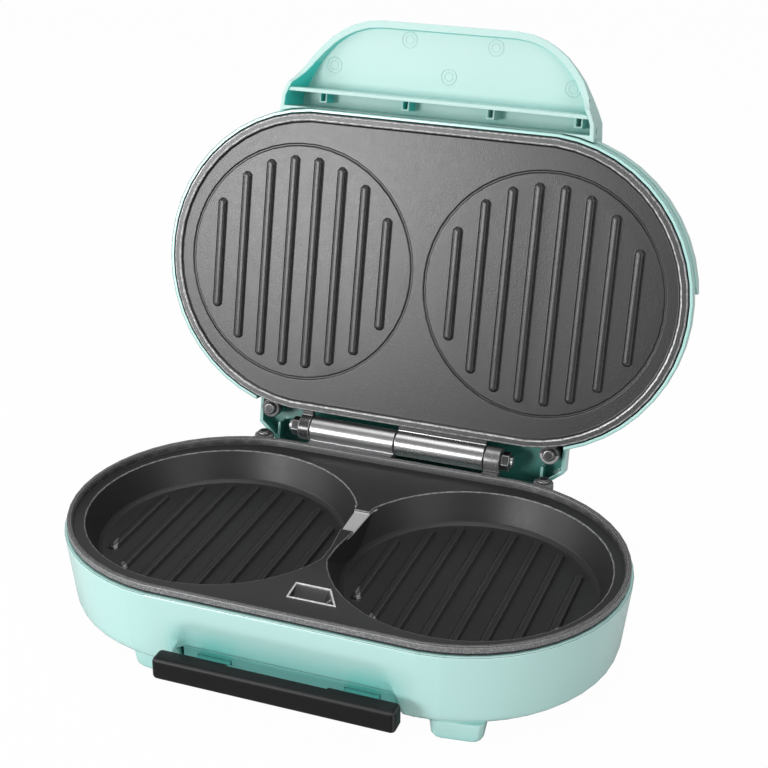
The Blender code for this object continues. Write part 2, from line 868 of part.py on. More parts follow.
# Cord gland through the rear wall. The profile runs from its outer face inward.
along_y = Matrix.Rotation(-pi / 2, 3, "X")
gland_seat = housing_radius(gland_height + gland_flange_radius) + touch_gap
gland_outer = gland_seat + gland_flange_length
gland_inner = gland_seat - gland_inner_length
gland_hole = [(gland_body_radius + touch_gap, gland_inner),
              (gland_body_radius + touch_gap, gland_outer)]
cut(lower_housing, round_body("gland_hole", gland_hole, stand, segments=gland_segments,
                              place=(gland_across, 0, gland_height), turn=along_y))
gland_profile = [
    (gland_bore_radius, gland_inner),
    (gland_body_radius, gland_inner),
    (gland_body_radius, gland_seat),
    (gland_flange_radius, gland_seat),
    (gland_body_radius, gland_outer),
    (gland_bore_radius, gland_outer),
]
round_body("cord_gland", gland_profile, stand, "black_plastic", gland_segments, True,
           (gland_across, 0, gland_height), along_y)

# Lower plate: a rim, a flat land and two round wells in one casting.
slab_radius = housing_top_radius - housing_wall - slab_inset
rim_inner = plate_radius - rim_width
lower_profile = [
    (slab_radius, slab_underside),
    (slab_radius, plate_seat),
    (plate_radius, plate_seat),
    (plate_radius, rim_top - rim_round),
    (plate_radius - rim_round, rim_top),
    (rim_inner + rim_round, rim_top),
    (rim_inner, rim_top - rim_round),
    (rim_inner - rim_round, land_level),
]
lower_plate = oval_body("lower_plate", lower_profile, stand, "coated_aluminium")
well_slope = (well_top_radius - well_floor_radius) / well_depth
bowl_profile = [
    (well_floor_radius + bowl_taper_share * well_wall, well_underside),
    (well_floor_radius + well_wall, well_floor),
    (well_top_radius + well_wall, slab_underside + weld_depth),
]
well_profile = [
    (well_floor_radius - well_round, well_floor),
    (well_floor_radius + well_slope * well_round, well_floor + well_round),
    (well_top_radius + well_slope * overrun, land_level + overrun),
]
for side_way, side_word in both_sides():
    join(lower_plate, round_body(f"bowl_{side_word}", bowl_profile, stand, segments=well_segments,
                                 place=(side_way * well_centre, 0, 0)))
# The bridge between the wells narrows toward the front and has a shallow notch across it.
bridge_right = [
    (bridge_front_width / 2, bridge_front),
    (bridge_neck_width / 2, bridge_neck),
    (bridge_middle_width / 2, bridge_middle),
    (bridge_shoulder_width / 2, bridge_shoulder),
    (bridge_rear_width / 2, bridge_rear),
]
bridge_left = [(-across, along) for across, along in reversed(bridge_right)]
bridge = prism("bridge", bridge_right + bridge_left, well_floor - overrun,
               land_level + overrun + overrun, stand)
for side_way, side_word in both_sides():
    well = round_body(f"well_{side_word}", well_profile, stand, segments=well_segments,
                      place=(side_way * well_centre, 0, 0))
    cut(well, bridge)
    cut(lower_plate, well)


def rib_set(name, centre, root, crest, carrier):
    """Parallel ribs with round ends, front to back across one round face."""
    bm = bmesh.new()
    quarter = Matrix.Rotation(pi / 2, 3, "Z")
    way = 1 if crest > root else -1
    shoulder = (rib_width + rib_top_width) / 4
    profile = [(rib_width / 2, root), (shoulder, crest - way * rib_shoulder),
               (rib_top_width / 2, crest)]
    for index in range(rib_count):
        across = (index - (rib_count - 1) / 2) * rib_pitch
        reach = sqrt(rib_end_radius ** 2 - across ** 2)
        rings = [add_ring(bm, radius, level, reach, rib_segments) for radius, level in profile]
        skin(bm, rings, False)
        points = [point for ring in rings for point in ring]
        bmesh.ops.rotate(bm, verts=points, cent=(0, 0, 0), matrix=quarter)
        bmesh.ops.translate(bm, verts=points, vec=(centre + across, 0, 0))
    return from_bmesh(name, bm, carrier, None)


for side_way, side_word in both_sides():
    join(lower_plate, rib_set(f"lower_ribs_{side_word}", side_way * well_centre,
                              well_floor - weld_depth, well_floor + rib_height, stand))
notch_half = bridge_rear_width
cut(lower_plate, box("bridge_notch", (-notch_half, notch_front, land_level - notch_depth),
                     (notch_half, notch_rear, land_level + overrun), stand))

# Fat drain: a tapered hole through the land, above the tray.
drain_outline = [(drain_front_left, drain_front), (drain_front_right, drain_front),
                 (drain_rear_right, drain_rear), (drain_left, drain_rear)]
drain_mouth = [tuple(point) for point in offset(drain_outline, -drain_taper)]
drain_mouth[2:] = [(across, along - drain_ramp) for across, along in drain_mouth[2:]]
drain_sections = [
    lift(drain_mouth, slab_underside - overrun),
    lift(drain_mouth, slab_underside),
    lift(drain_outline, land_level),
    lift(drain_outline, land_level + overrun),
]
cut(lower_plate, loft("drain", drain_sections, stand))

# Boss under each well for the bar that holds the heater up.
clamp_top = lower_heater_level - heater_radius - touch_gap
clamp_bottom = clamp_top - clamp_thickness
for side_way, side_word in both_sides():
    boss_profile = [(clamp_boss_radius, clamp_top + touch_gap),
                    (clamp_boss_radius, well_underside + weld_depth)]
    join(lower_plate, round_body(f"clamp_boss_{side_word}", boss_profile, stand,
                                 segments=lug_segments, place=(side_way * well_centre, 0, 0)))
    cut(lower_plate, screw_hole(f"clamp_boss_hole_{side_word}", (side_way * well_centre, 0),
                                clamp_bottom, clamp_bottom + short_screw_length + overrun, stand))

# Upper plate, drawn face down over the lower one: a raised rim round a flat with two rings.
recess_level = face_level + upper_recess
upper_inner = plate_radius - upper_rim_width
upper_profile = [
    (upper_inner - rim_round, recess_level),
    (upper_inner, face_level + rim_round),
    (upper_inner + rim_round, face_level),
    (plate_radius - rim_round, face_level),
    (plate_radius, face_level + rim_round),
    (plate_radius, back_level),
]
upper_plate = oval_body("upper_plate", upper_profile, lid_hinge, "coated_aluminium")
ring_profile = [
    (ring_radius - ring_width / 2, recess_level - overrun),
    (ring_radius + ring_width / 2, recess_level - overrun),
    (ring_radius + ring_width / 2, recess_level + ring_depth),
    (ring_radius - ring_width / 2, recess_level + ring_depth),
]
for side_way, side_word in both_sides():
    cut(upper_plate, round_body(f"ring_{side_word}", ring_profile, lid_hinge,
                                segments=ring_segments, closed=True,
                                place=(side_way * ring_centre, 0, 0)))
for side_way, side_word in both_sides():
    join(upper_plate, rib_set(f"upper_ribs_{side_word}", side_way * ring_centre,
                              recess_level + weld_depth, recess_level - rib_height, lid_hinge))

# Bosses on the back of the upper plate, for its heater's bars and for the reflector.
upper_clamp_bottom = upper_heater_level + heater_radius + touch_gap
upper_clamp_top = upper_clamp_bottom + clamp_thickness
reflector_bottom = (upper_clamp_top + touch_gap + screw_head_height + reflector_stand_off)
reflector_top = reflector_bottom + reflector_thickness
for side_way, side_word in both_sides():
    boss_profile = [(clamp_boss_radius, back_level - weld_depth),
                    (clamp_boss_radius, upper_clamp_bottom - touch_gap)]
    clamp_place = (side_way * well_centre, 0)
    join(upper_plate, round_body(f"upper_clamp_boss_{side_word}", boss_profile, lid_hinge,
                                 segments=lug_segments, place=(*clamp_place, 0)))
    cut(upper_plate, screw_hole(f"upper_clamp_hole_{side_word}", clamp_place,
                                upper_clamp_top - short_screw_length - overrun,
                                upper_clamp_top, lid_hinge))
reflector_places = [(side_way * reflector_screw_place, front_way * reflector_screw_place)
                    for side_way in (-1, 1) for front_way in (-1, 1)]
for index, place in enumerate(reflector_places):
    boss_profile = [(reflector_boss_radius, back_level - weld_depth),
                    (reflector_boss_radius, reflector_bottom - touch_gap)]
    join(upper_plate, round_body(f"reflector_boss_{index}", boss_profile, lid_hinge,
                                 place=(*place, 0)))
    cut(upper_plate, screw_hole(f"reflector_boss_hole_{index}", place,
                                reflector_top - screw_length, reflector_top, lid_hinge))

# Lugs at the rear corners of both plates, each with a screw hole.
lower_lug = (plate_seat + level_step, rim_top - lower_lug_drop)
upper_lug = (face_level + upper_lug_lift, face_level + upper_lug_lift + upper_lug_thickness)
lug_sets = (
    (lower_plate, stand, "lower", lower_lug, lower_lug[0] + level_step, lower_lug[1] - level_step,
     lug_web_inset),
    (upper_plate, lid_hinge, "upper", upper_lug, upper_lug[0] + level_step,
     back_level + upper_lug_web_rise, upper_lug_web_inset),
)
for plate, carrier, plate_word, span, web_low, web_high, web_reach in lug_sets:
    for side_way, side_word in both_sides():
        word = f"{plate_word}_{side_word}"
        across = side_way * lug_out
        join(plate,
             box(f"lug_web_{word}", (across - lug_web_half, lug_back - web_reach, web_low),
                 (across + lug_web_half, lug_back, web_high), carrier),
             round_body(f"lug_{word}", [(lug_radius, span[0]), (lug_radius, span[1])], carrier,
                        segments=lug_segments, place=(across, lug_back, 0)))
        cut(plate, screw_hole(f"lug_hole_{word}", (across, lug_back), span[0] - overrun,
                              span[1] + overrun, carrier))
for side_way, side_word in both_sides():
    screw(f"lid_screw_{side_word}", (side_way * lug_out, lug_back), upper_lug[0], lid_hinge, -1)

# Hinge knuckles stand on webs behind the plates, two to each plate, bored for one axle.
knuckles = (
    (upper_plate, lid_hinge, "far_left", knuckle_left, knuckle_left_split),
    (lower_plate, stand, "left", knuckle_left_split, knuckle_middle_split),
    (upper_plate, lid_hinge, "right", knuckle_middle_split, knuckle_right_split),
    (lower_plate, stand, "far_right", knuckle_right_split, knuckle_right),
)
for plate, carrier, word, start, end in knuckles:
    start += knuckle_gap / 2
    end -= knuckle_gap / 2
    web_low = lower_lug[0] if plate is lower_plate else face_level + upper_web_lift
    join(plate,
         box(f"knuckle_web_{word}", (start + level_step, plate_radius - web_inset, web_low),
             (end - level_step, hinge_back, web_low + web_thickness), carrier),
         rod(f"knuckle_{word}", start, end, hinge_level, hinge_back, barrel_radius, carrier))
bore_radius = axle_radius + axle_clearance
for plate, carrier, word in ((lower_plate, stand, "lower"), (upper_plate, lid_hinge, "upper")):
    cut(plate, rod(f"axle_bore_{word}", knuckle_left - overrun, knuckle_right + overrun,
                   hinge_level, hinge_back, bore_radius, carrier))

# Axle with a nut at each end.
nut_reach = touch_gap + nut_thickness
rod("hinge_axle", knuckle_left - nut_reach - axle_thread, knuckle_right + nut_reach + axle_thread,
    hinge_level, hinge_back, axle_radius, stand, "steel")
for word, start in (("left", knuckle_left - nut_reach), ("right", knuckle_right + touch_gap)):
    nut = rod(f"axle_nut_{word}", start, start + nut_thickness, hinge_level, hinge_back,
              nut_radius, stand, "steel", nut_sides)
    cut(nut, rod(f"nut_bore_{word}", start - overrun, start + nut_thickness + overrun, hinge_level,
                 hinge_back, bore_radius, stand))

# Lid shell: a thin lip round the upper plate, a short skirt, then a double curved dome.
lip_inner = plate_radius + plate_to_lip
lip_outer = lip_inner + skirt_wall
lip_level = face_level + lip_lift
shell_radius = plate_radius + shell_margin
shell_outer = [(across * shell_radius, face_level + up * shell_height)
               for across, up in shell_dome_shares]
shell_inner = offset(shell_outer, -shell_wall, False)
shell_profile = [
    *reversed([tuple(point) for point in shell_inner]),
    (lip_inner, face_level + skirt_inner_height),
    (lip_inner, lip_level),
    (lip_outer - lip_round, lip_level),
    (lip_outer, lip_level + lip_round),
    (lip_outer, face_level + skirt_height),
    *shell_outer,
]
lid_shell = oval_body("lid_shell", shell_profile, lid_hinge, "mint_plastic")


def hood_outline(front):
    """Outline of the hood, counterclockwise, from a front line back."""
    return [(-hood_front_half, front), (hood_front_half, front),
            (hood_front_half, hood_corner_back), (hood_rear_half, hood_rear),
            (-hood_rear_half, hood_rear), (-hood_front_half, hood_corner_back)]


hood_rings = (
    (hood_underside, 0),
    (hood_roof - hood_round, 0),
    (hood_roof - hood_shoulder_share * hood_round, hood_shoulder_share * hood_round),
    (hood_roof, hood_round),
)
hood_sections = [lift(offset(hood_outline(hood_front), -inset), level)
                 for level, inset in hood_rings]
hood_cavity = offset(hood_outline(hood_front - hood_wall - hood_wall), -hood_wall)
join(lid_shell, loft("hood", hood_sections, lid_hinge))
cut(lid_shell, prism("hood_cavity", hood_cavity, hood_underside - overrun, hood_roof - hood_wall,
                     lid_hinge))
hood_cut_half = hood_front_half - hood_cut_side
cut(lid_shell, box("hinge_gap", (-hood_cut_half, plate_radius - hood_cut_inset,
                                 face_level - overrun),
                   (hood_cut_half, hood_rear, hood_underside - level_step), lid_hinge))

# Ribs and screw bosses inside the hood.
hood_ceiling = hood_roof - hood_wall
for side_way, side_word in both_sides():
    rib_sides = sorted(side_way * (lug_out - hood_rib_inset + reach)
                       for reach in (0, hood_rib_thickness))
    join(lid_shell, box(f"hood_rib_{side_word}",
                        (rib_sides[0], hinge_back + hood_rib_past_hinge,
                         hood_underside + level_step),
                        (rib_sides[1], hood_rear - hood_wall + weld_depth,
                         hood_ceiling + weld_depth), lid_hinge))
    boss_profile = [(boss_radius, upper_lug[1] + touch_gap),
                    (boss_radius, hood_ceiling + weld_depth)]
    join(lid_shell, round_body(f"hood_boss_{side_word}", boss_profile, lid_hinge,
                               segments=lug_segments, place=(side_way * lug_out, lug_back, 0)))
    cut(lid_shell, screw_hole(f"hood_boss_hole_{side_word}", (side_way * lug_out, lug_back),
                              upper_lug[1], upper_lug[0] + screw_length + overrun, lid_hinge))

# Front cover: half a dome over the shell, closed behind, with the loop handle in front.
cover_radius = plate_radius + cover_margin
cover_outer = [(across * cover_radius, face_level + up * cover_height)
               for across, up in cover_dome_shares]
cover_inner = [tuple(point) for point in offset(cover_outer, -cover_wall, False)]
lid_cover = oval_body("lid_cover", cover_outer, lid_hinge, "mint_plastic", back=cover_rear)
handle_bottom = face_level + handle_lift
handle_top = handle_bottom + handle_height
handle_tip = plate_radius + handle_reach
handle_slope = handle_fall / handle_reach


def handle_outline(inset):
    """Outline of the handle, counterclockwise, moved in by some distance."""
    right = [(across * handle_half, -plate_radius - along * handle_reach)
             for across, along in handle_shares]
    left = [(-across, along) for across, along in right]
    return [tuple(point) for point in offset(left + right[::-1], -inset)]


def handle_section(inset, level):
    """The outline at a level, which falls toward the tip."""
    return [(across, along, level + handle_slope * (along + plate_radius))
            for across, along in handle_outline(inset)]


handle_rings = (
    (handle_top - handle_round, 0),
    (handle_top - handle_shoulder_share * handle_round, handle_shoulder_share * handle_round),
    (handle_top, handle_round),
)
handle_sections = [lift(handle_outline(0), handle_bottom)] + [
    handle_section(inset, level) for level, inset in handle_rings]
join(lid_cover, loft("handle", handle_sections, lid_hinge))

# The handle's rim sweeps up from the root to a thin lip at the tip.
sweep_rise = handle_height - handle_fall - handle_lip
sweep = [(-plate_radius - along * handle_reach, handle_bottom + up * sweep_rise)
         for along, up in handle_sweep_shares]
sweep.append((sweep[-1][0] - overrun, sweep[-1][1]))
sweep.append((sweep[-1][0], handle_bottom - overrun))
sweep.append((sweep[0][0], handle_bottom - overrun))
sweep_sections = [[(side_way * (handle_half + overrun), along, level) for along, level in sweep]
                  for side_way in (-1, 1)]
cut(lid_cover, loft("handle_sweep", sweep_sections, lid_hinge))

# Hollow the cover out: the dome, the room for the shell, and the handle from below.
cavity_profile = [(cover_inner[0][0], face_level)] + cover_inner
cut(lid_cover, oval_body("cover_cavity", cavity_profile, lid_hinge,
                         back=cover_rear - cover_rear_wall))
room_outer = lip_outer + cover_clearance
shell_room = [(room_outer, face_level), (room_outer, shell_outer[0][1])] + [
    tuple(point) for point in offset(shell_outer, cover_clearance, False)]
cut(lid_cover, oval_body("shell_room", shell_room, lid_hinge))
hollow_sections = [
    lift(handle_outline(handle_wall), handle_bottom - overrun),
    handle_section(handle_wall + handle_draft, handle_top - handle_roof),
]
hollow_back = cover_recess - cover_outer[0][0]
cut(lid_cover, loft("handle_hollow", hollow_sections, lid_hinge, back=hollow_back))

# A ledge wall divides the hollow, and carries small hollow hooks on its rear face.
ledge_rear = ledge_front + ledge_thickness
ledge_span = handle_outline(handle_wall / 2)
ledge_sections = [
    lift(ledge_span, handle_bottom + ledge_lift),
    [(across, along, level + weld_depth - handle_roof)
     for across, along, level in handle_section(handle_wall / 2, handle_top)],
]
ledge = loft("handle_ledge", ledge_sections, lid_hinge, back=ledge_rear)
cut(ledge, box("ledge_cutter", (-handle_half, -handle_tip - overrun, handle_bottom - overrun),
               (handle_half, ledge_front, handle_top + overrun), lid_hinge))
join(lid_cover, ledge)
hook_top = handle_top - handle_roof + handle_slope * (ledge_rear + plate_radius)
for index in range(hook_count):
    across = (index - (hook_count - 1) / 2) * hook_pitch + hook_shift
    hook = box(f"handle_hook_{index}",
               (across - hook_width / 2, ledge_rear - weld_depth, hook_top - hook_drop),
               (across + hook_width / 2, ledge_rear + hook_reach, hook_top + weld_depth),
               lid_hinge)
    hook_inside = hook_width / 2 - hook_wall
    cut(hook, box(f"hook_inside_{index}",
                  (across - hook_inside, ledge_rear - overrun, hook_top - hook_drop - overrun),
                  (across + hook_inside, ledge_rear + hook_reach - hook_wall,
                   hook_top + weld_depth + overrun), lid_hinge))
    join(lid_cover, hook)

# Small chamfers at the lower rear corners of the cover.
corner_out = straight_half + cover_outer[0][0]
for side_way, side_word in both_sides():
    ends = sorted((side_way * (corner_out + overrun), side_way * (corner_out - cover_corner_reach)))
    cut(lid_cover, rod(f"cover_corner_{side_word}", ends[0], ends[1], cover_outer[0][1],
                       cover_rear, cover_corner, lid_hinge, segments=4))

# Screws hold the cover from inside the shell.
cover_boss_level = shell_outer[-1][1] + touch_gap
cover_seat = shell_outer[-1][1] - cover_screw_depth
for index, (past_end, along) in enumerate(cover_screw_spans):
    for side_way, side_word in both_sides():
        word = f"{side_word}_{index}"
        place = (side_way * (straight_half + past_end), along)
        boss_profile = [(cover_boss_radius, cover_boss_level),
                        (cover_boss_radius, cover_inner[-2][1] + weld_depth)]
        join(lid_cover, round_body(f"cover_boss_{word}", boss_profile, lid_hinge,
                                   place=(*place, 0)))
        cut(lid_cover, screw_hole(f"cover_boss_hole_{word}", place, cover_boss_level - overrun,
                                  cover_seat + short_screw_length + touch_gap, lid_hinge))
        cut(lid_shell, screw_hole(f"shell_hole_{word}", place, cover_seat - overrun,
                                  cover_boss_level, lid_hinge))
        screw(f"cover_screw_{word}", place, cover_seat, lid_hinge, -1, short_screw_length)

# Indicator lenses sit in the cover, each over a lamp that reaches through the shell.
lens_seat = cover_outer[-2][1] + lens_flange_height
for side_way, side_word in both_sides():
    place = (side_way * lens_pitch / 2, -lens_forward, 0)
    hole_radius = lens_radius + lens_clearance
    cut(lid_cover, round_body(f"lens_hole_{side_word}",
                              [(hole_radius, cover_boss_level), (hole_radius, lens_seat)],
                              lid_hinge, segments=lug_segments, place=place))
    lens_profile = [
        (lens_radius, lens_seat - lens_length),
        (lens_radius, lens_seat),
        (lens_radius + lens_flange, lens_seat),
        (lens_radius + lens_flange, lens_seat + lens_flange_height / 2),
        (lens_radius, lens_seat + lens_flange_height),
    ]
    look = "red_lens" if side_way < 0 else "green_lens"
    round_body(f"indicator_lens_{side_word}", lens_profile, lid_hinge, look, lug_segments,
               place=place)
    lamp_level = face_level + lamp_top
    room = lamp_radius + lamp_clearance
    cut(lid_shell, round_body(f"lamp_hole_{side_word}",
                              [(room, lamp_level - lamp_length), (room, lamp_level + overrun)],
                              lid_hinge, place=place))
    lamp_profile = [
        (lamp_radius, lamp_level - lamp_length),
        (lamp_radius, lamp_level - lamp_radius / 2),
        (lamp_radius / 2, lamp_level),
    ]
    round_body(f"lamp_{side_word}", lamp_profile, lid_hinge, "lamp_glass", place=place)

# Heaters: one bent tube that loops under each well, with its two ends in the middle.
loop_reach = heater_loop * cos(heater_end_angle)
hump_centre = (0, -well_centre)
hump_radius = (well_centre - loop_reach) * sqrt(2)
left_loop = arc_points((-well_centre, 0), heater_loop, heater_end_angle,
                       2 * pi - heater_end_angle, heater_loop_steps)
hump = arc_points(hump_centre, hump_radius, pi - heater_end_angle, heater_end_angle,
                  heater_hump_steps)
right_loop = arc_points((well_centre, 0), heater_loop, pi + heater_end_angle,
                        3 * pi - heater_end_angle, heater_loop_steps)
tail_run = heater_tail * cos(heater_end_angle)
left_tail = (left_loop[0][0] + tail_run, left_loop[0][1] - tail_run)
right_tail = (right_loop[-1][0] - tail_run, right_loop[-1][1] - tail_run)
heater_path = [left_tail] + left_loop + hump[1:-1] + right_loop + [right_tail]
heater_sets = (
    ("lower_heater", lower_heater_level, stand),
    ("upper_heater", upper_heater_level, lid_hinge),
)
for name, level, carrier in heater_sets:
    tube(name, lift(heater_path, level), heater_radius, carrier, "heater_sheath")

# Flat bars clamp the heaters, screwed to the bosses of the plates.
clamp_sets = (
    ("lower", clamp_bottom, stand, -1),
    ("upper", upper_clamp_bottom, lid_hinge, 1),
)
for plate_word, level, carrier, way in clamp_sets:
    for side_way, side_word in both_sides():
        word = f"{plate_word}_{side_word}"
        across = side_way * well_centre
        seat = level if way < 0 else level + clamp_thickness
        clamp = box(f"heater_clamp_{word}", (across - clamp_width / 2, -clamp_length / 2, level),
                    (across + clamp_width / 2, clamp_length / 2, level + clamp_thickness), carrier,
                    "steel")
        cut(clamp, screw_hole(f"clamp_hole_{word}", (across, 0), level - overrun,
                              level + clamp_thickness + overrun, carrier))
        screw(f"clamp_screw_{word}", (across, 0), seat, carrier, way, short_screw_length)

# Reflector sheet between the upper heater and the lid shell.
reflector_profile = [(plate_radius - reflector_inset, reflector_bottom),
                     (plate_radius - reflector_inset, reflector_top)]
reflector = oval_body("reflector", reflector_profile, lid_hinge, "bright_sheet")
cut(reflector, box("reflector_slot", (-reflector_slot_half, reflector_slot_front,
                                      reflector_bottom - overrun),
                   (reflector_slot_half, reflector_slot_rear, reflector_top + overrun), lid_hinge))
for index, place in enumerate(reflector_places):
    cut(reflector, screw_hole(f"reflector_hole_{index}", place, reflector_bottom - overrun,
                              reflector_top + overrun, lid_hinge))
    screw(f"reflector_screw_{index}", place, reflector_top, lid_hinge, 1, short_screw_length)

# Bent sheet tunnel over the tray, open under the fat drain, on flanges over the studs.
tunnel_top = tunnel_underside + tunnel_sheet
tunnel_outer = tunnel_half_width + tunnel_sheet
sheet_bottom = housing_floor + touch_gap
tunnel_points = [
    (-tunnel_outer - tunnel_foot, sheet_bottom),
    (-tunnel_half_width, sheet_bottom),
    (-tunnel_half_width, tunnel_underside),
    (tunnel_half_width, tunnel_underside),
    (tunnel_half_width, sheet_bottom),
    (tunnel_outer + tunnel_foot, sheet_bottom),
    (tunnel_outer + tunnel_foot, sheet_bottom + tunnel_sheet),
    (tunnel_outer, sheet_bottom + tunnel_sheet),
    (tunnel_outer, tunnel_top),
    (-tunnel_outer, tunnel_top),
    (-tunnel_outer, sheet_bottom + tunnel_sheet),
    (-tunnel_outer - tunnel_foot, sheet_bottom + tunnel_sheet),
]
tunnel_sections = [[(tray_centre + across, along, level) for across, level in tunnel_points]
                   for along in (tunnel_front, tunnel_rear)]
tunnel = loft("tray_tunnel", tunnel_sections, stand, "bright_sheet")
cut(tunnel, box("tunnel_opening",
                (drain_left - tunnel_opening_margin, tunnel_front - overrun,
                 tunnel_underside - overrun),
                (drain_front_right + tunnel_opening_margin, drain_rear + tunnel_opening_margin,
                 tunnel_top + overrun), stand))
for side_way, side_word in both_sides():
    for index, along in enumerate(stud_places):
        hole = [(stud_radius + screw_clearance, housing_floor),
                (stud_radius + screw_clearance, sheet_bottom + tunnel_sheet + overrun)]
        cut(tunnel, round_body(f"stud_hole_{side_word}_{index}", hole, stand,
                               place=(tray_centre + side_way * stud_out, along, 0)))

# Drip tray: a shallow tray whose front wall closes the slot in the scoop.
tray_outline = [(tray_centre + across, along) for across, along in rounded_rectangle(
    tray_half, tray_front, tray_rear, tray_corner, tray_corner_steps)]
tray_sections = [
    lift(offset(tray_outline, -tray_taper), tray_floor),
    lift(tray_outline, tray_top),
    lift(offset(tray_outline, -tray_wall), tray_top),
    lift(offset(tray_outline, -tray_wall - tray_taper), tray_floor + tray_wall),
]
drip_tray = loft("drip_tray", tray_sections, stand, "mint_plastic")

# Bar across the front of the tray, pushed into its front wall with two tongues.
bar_top = bar_bottom + bar_height
bar_left = tray_centre - bar_half_length
bar_right = tray_centre + bar_half_length
tongue_bottom = tray_floor + tray_wall + touch_gap
tongue_top = tongue_bottom + tongue_thickness
tray_bar = box("tray_bar", (bar_left, bar_front, bar_bottom), (bar_right, bar_rear, bar_top), stand,
               "black_plastic", bar_round)
for side_way, side_word in both_sides():
    tongue_middle = tray_centre + side_way * tongue_place
    tongue_left = tongue_middle - tongue_width / 2
    tongue_right = tongue_middle + tongue_width / 2
    cut(drip_tray, box(f"tongue_slot_{side_word}",
                       (tongue_left - touch_gap, tray_front - overrun,
                        tongue_bottom - touch_gap + level_step),
                       (tongue_right + touch_gap, tray_front + tray_wall + tray_taper + overrun,
                        tongue_top + touch_gap), stand))
    join(tray_bar, box(f"tongue_{side_word}",
                       (tongue_left, bar_rear - bar_round - overrun, tongue_bottom),
                       (tongue_right, tray_front + tray_wall + tongue_length, tongue_top), stand))
cut(tray_bar, box("bar_notch", (tray_centre - bar_notch_half, bar_rear - bar_notch_depth,
                                bar_top - bar_notch_height),
                  (tray_centre + bar_notch_half, bar_rear + overrun, bar_top + overrun), stand))

# Terminal block, cord clamp, thermostat and thermal fuse.
block_bottom = housing_floor + touch_gap
block_top = block_bottom + block_height
box("terminal_block", (-block_width / 2, block_back - block_depth / 2, block_bottom),
    (block_width / 2, block_back + block_depth / 2, block_top), stand, "ivory_plastic")
cord_clamp_bottom = cord_post_top + touch_gap
cord_clamp_top = cord_clamp_bottom + cord_clamp_height
cord_clamp = box("cord_clamp",
                 (gland_across - cord_clamp_length / 2, cord_clamp_back - cord_clamp_depth / 2,
                  cord_clamp_bottom),
                 (gland_across + cord_clamp_length / 2, cord_clamp_back + cord_clamp_depth / 2,
                  cord_clamp_top), stand, "ivory_plastic")
for side_way, side_word in both_sides():
    place = (gland_across + side_way * cord_post_spacing / 2, cord_clamp_back)
    cut(cord_clamp, screw_hole(f"cord_clamp_hole_{side_word}", place, cord_clamp_bottom - overrun,
                               cord_clamp_top + overrun, stand))
    screw(f"cord_clamp_screw_{side_word}", place, cord_clamp_top, stand, 1, short_screw_length)
thermostat_top = slab_underside - touch_gap
thermostat_bottom = thermostat_top - thermostat_height
round_body("thermostat", [(thermostat_radius, thermostat_bottom),
                          (thermostat_radius, thermostat_top)], stand, "steel", lug_segments,
           place=(0, thermostat_back, 0))
fuse_level = slab_underside - touch_gap - fuse_radius
rod("thermal_fuse", -fuse_length / 2, fuse_length / 2, fuse_level, fuse_back, fuse_radius, stand,
    "lead_sleeve", tube_sides)

# Leads between the electrical pieces. The lead that crosses the hinge is left out.
entry_level = block_bottom + block_height / 2
block_front = block_back - block_depth / 2
tail_step = lead_straight * cos(heater_end_angle)
gap_step = touch_gap * cos(heater_end_angle)
for side_way, side_word in both_sides():
    tail = (side_way * right_tail[0], right_tail[1])
    near = (tail[0] - side_way * gap_step, tail[1] - gap_step)
    bend = (tail[0] - side_way * tail_step, tail[1] - tail_step)
    entry = bend[0] - side_way * tail_step
    lower_run = [
        (*near, lower_heater_level),
        (*bend, lower_heater_level),
        (entry, tail[1] + lead_straight, lower_heater_level - lead_straight),
        (entry, block_front - lead_straight, entry_level),
        (entry, block_front - touch_gap, entry_level),
    ]
    tube(f"heater_lead_{side_word}", smooth_run(lower_run), lead_radius, stand, "lead_sleeve",
         lead_sides)
    lamp_place = (side_way * lens_pitch / 2, -lens_forward)
    lamp_bottom = face_level + lamp_top - lamp_length
    upper_run = [
        (*near, upper_heater_level),
        (*bend, upper_heater_level),
        (entry, bend[1] - lead_straight, reflector_bottom - lead_straight),
        (entry, bend[1] - lead_straight - lead_straight, reflector_top + lead_straight),
        (lamp_place[0], lamp_place[1] + lead_straight, lamp_bottom - lead_straight),
        (*lamp_place, lamp_bottom - touch_gap),
    ]
    tube(f"lamp_lead_{side_word}", smooth_run(upper_run), lead_radius, lid_hinge, "lead_sleeve",
         lead_sides)
lead_side = block_width / 2 - lead_straight
rise_run = [
    (lead_side, block_back, block_top + touch_gap),
    (lead_side, block_back, block_top + lead_straight),
    (thermostat_radius / 2, thermostat_back, thermostat_bottom - lead_straight),
    (thermostat_radius / 2, thermostat_back, thermostat_bottom - touch_gap),
]
tube("thermostat_lead", smooth_run(rise_run), lead_radius, stand, "lead_sleeve", lead_sides)
fuse_end = -fuse_length / 2 - touch_gap
fuse_run = [
    (-thermostat_radius / 2, thermostat_back, thermostat_bottom - touch_gap),
    (-thermostat_radius / 2, thermostat_back, thermostat_bottom - lead_straight),
    (fuse_end - lead_straight, (thermostat_back + fuse_back) / 2, thermostat_bottom),
    (fuse_end - lead_straight, fuse_back, fuse_level),
    (fuse_end, fuse_back, fuse_level),
]
tube("fuse_lead", smooth_run(fuse_run), lead_radius, stand, "lead_sleeve", lead_sides)
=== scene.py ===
"""A mint hamburger maker that stands open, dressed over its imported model."""

import bmesh
import bpy
import json
from math import radians
from mathutils import Matrix, Vector
from mathutils.bvhtree import BVHTree
from mathutils.geometry import delaunay_2d_cdt


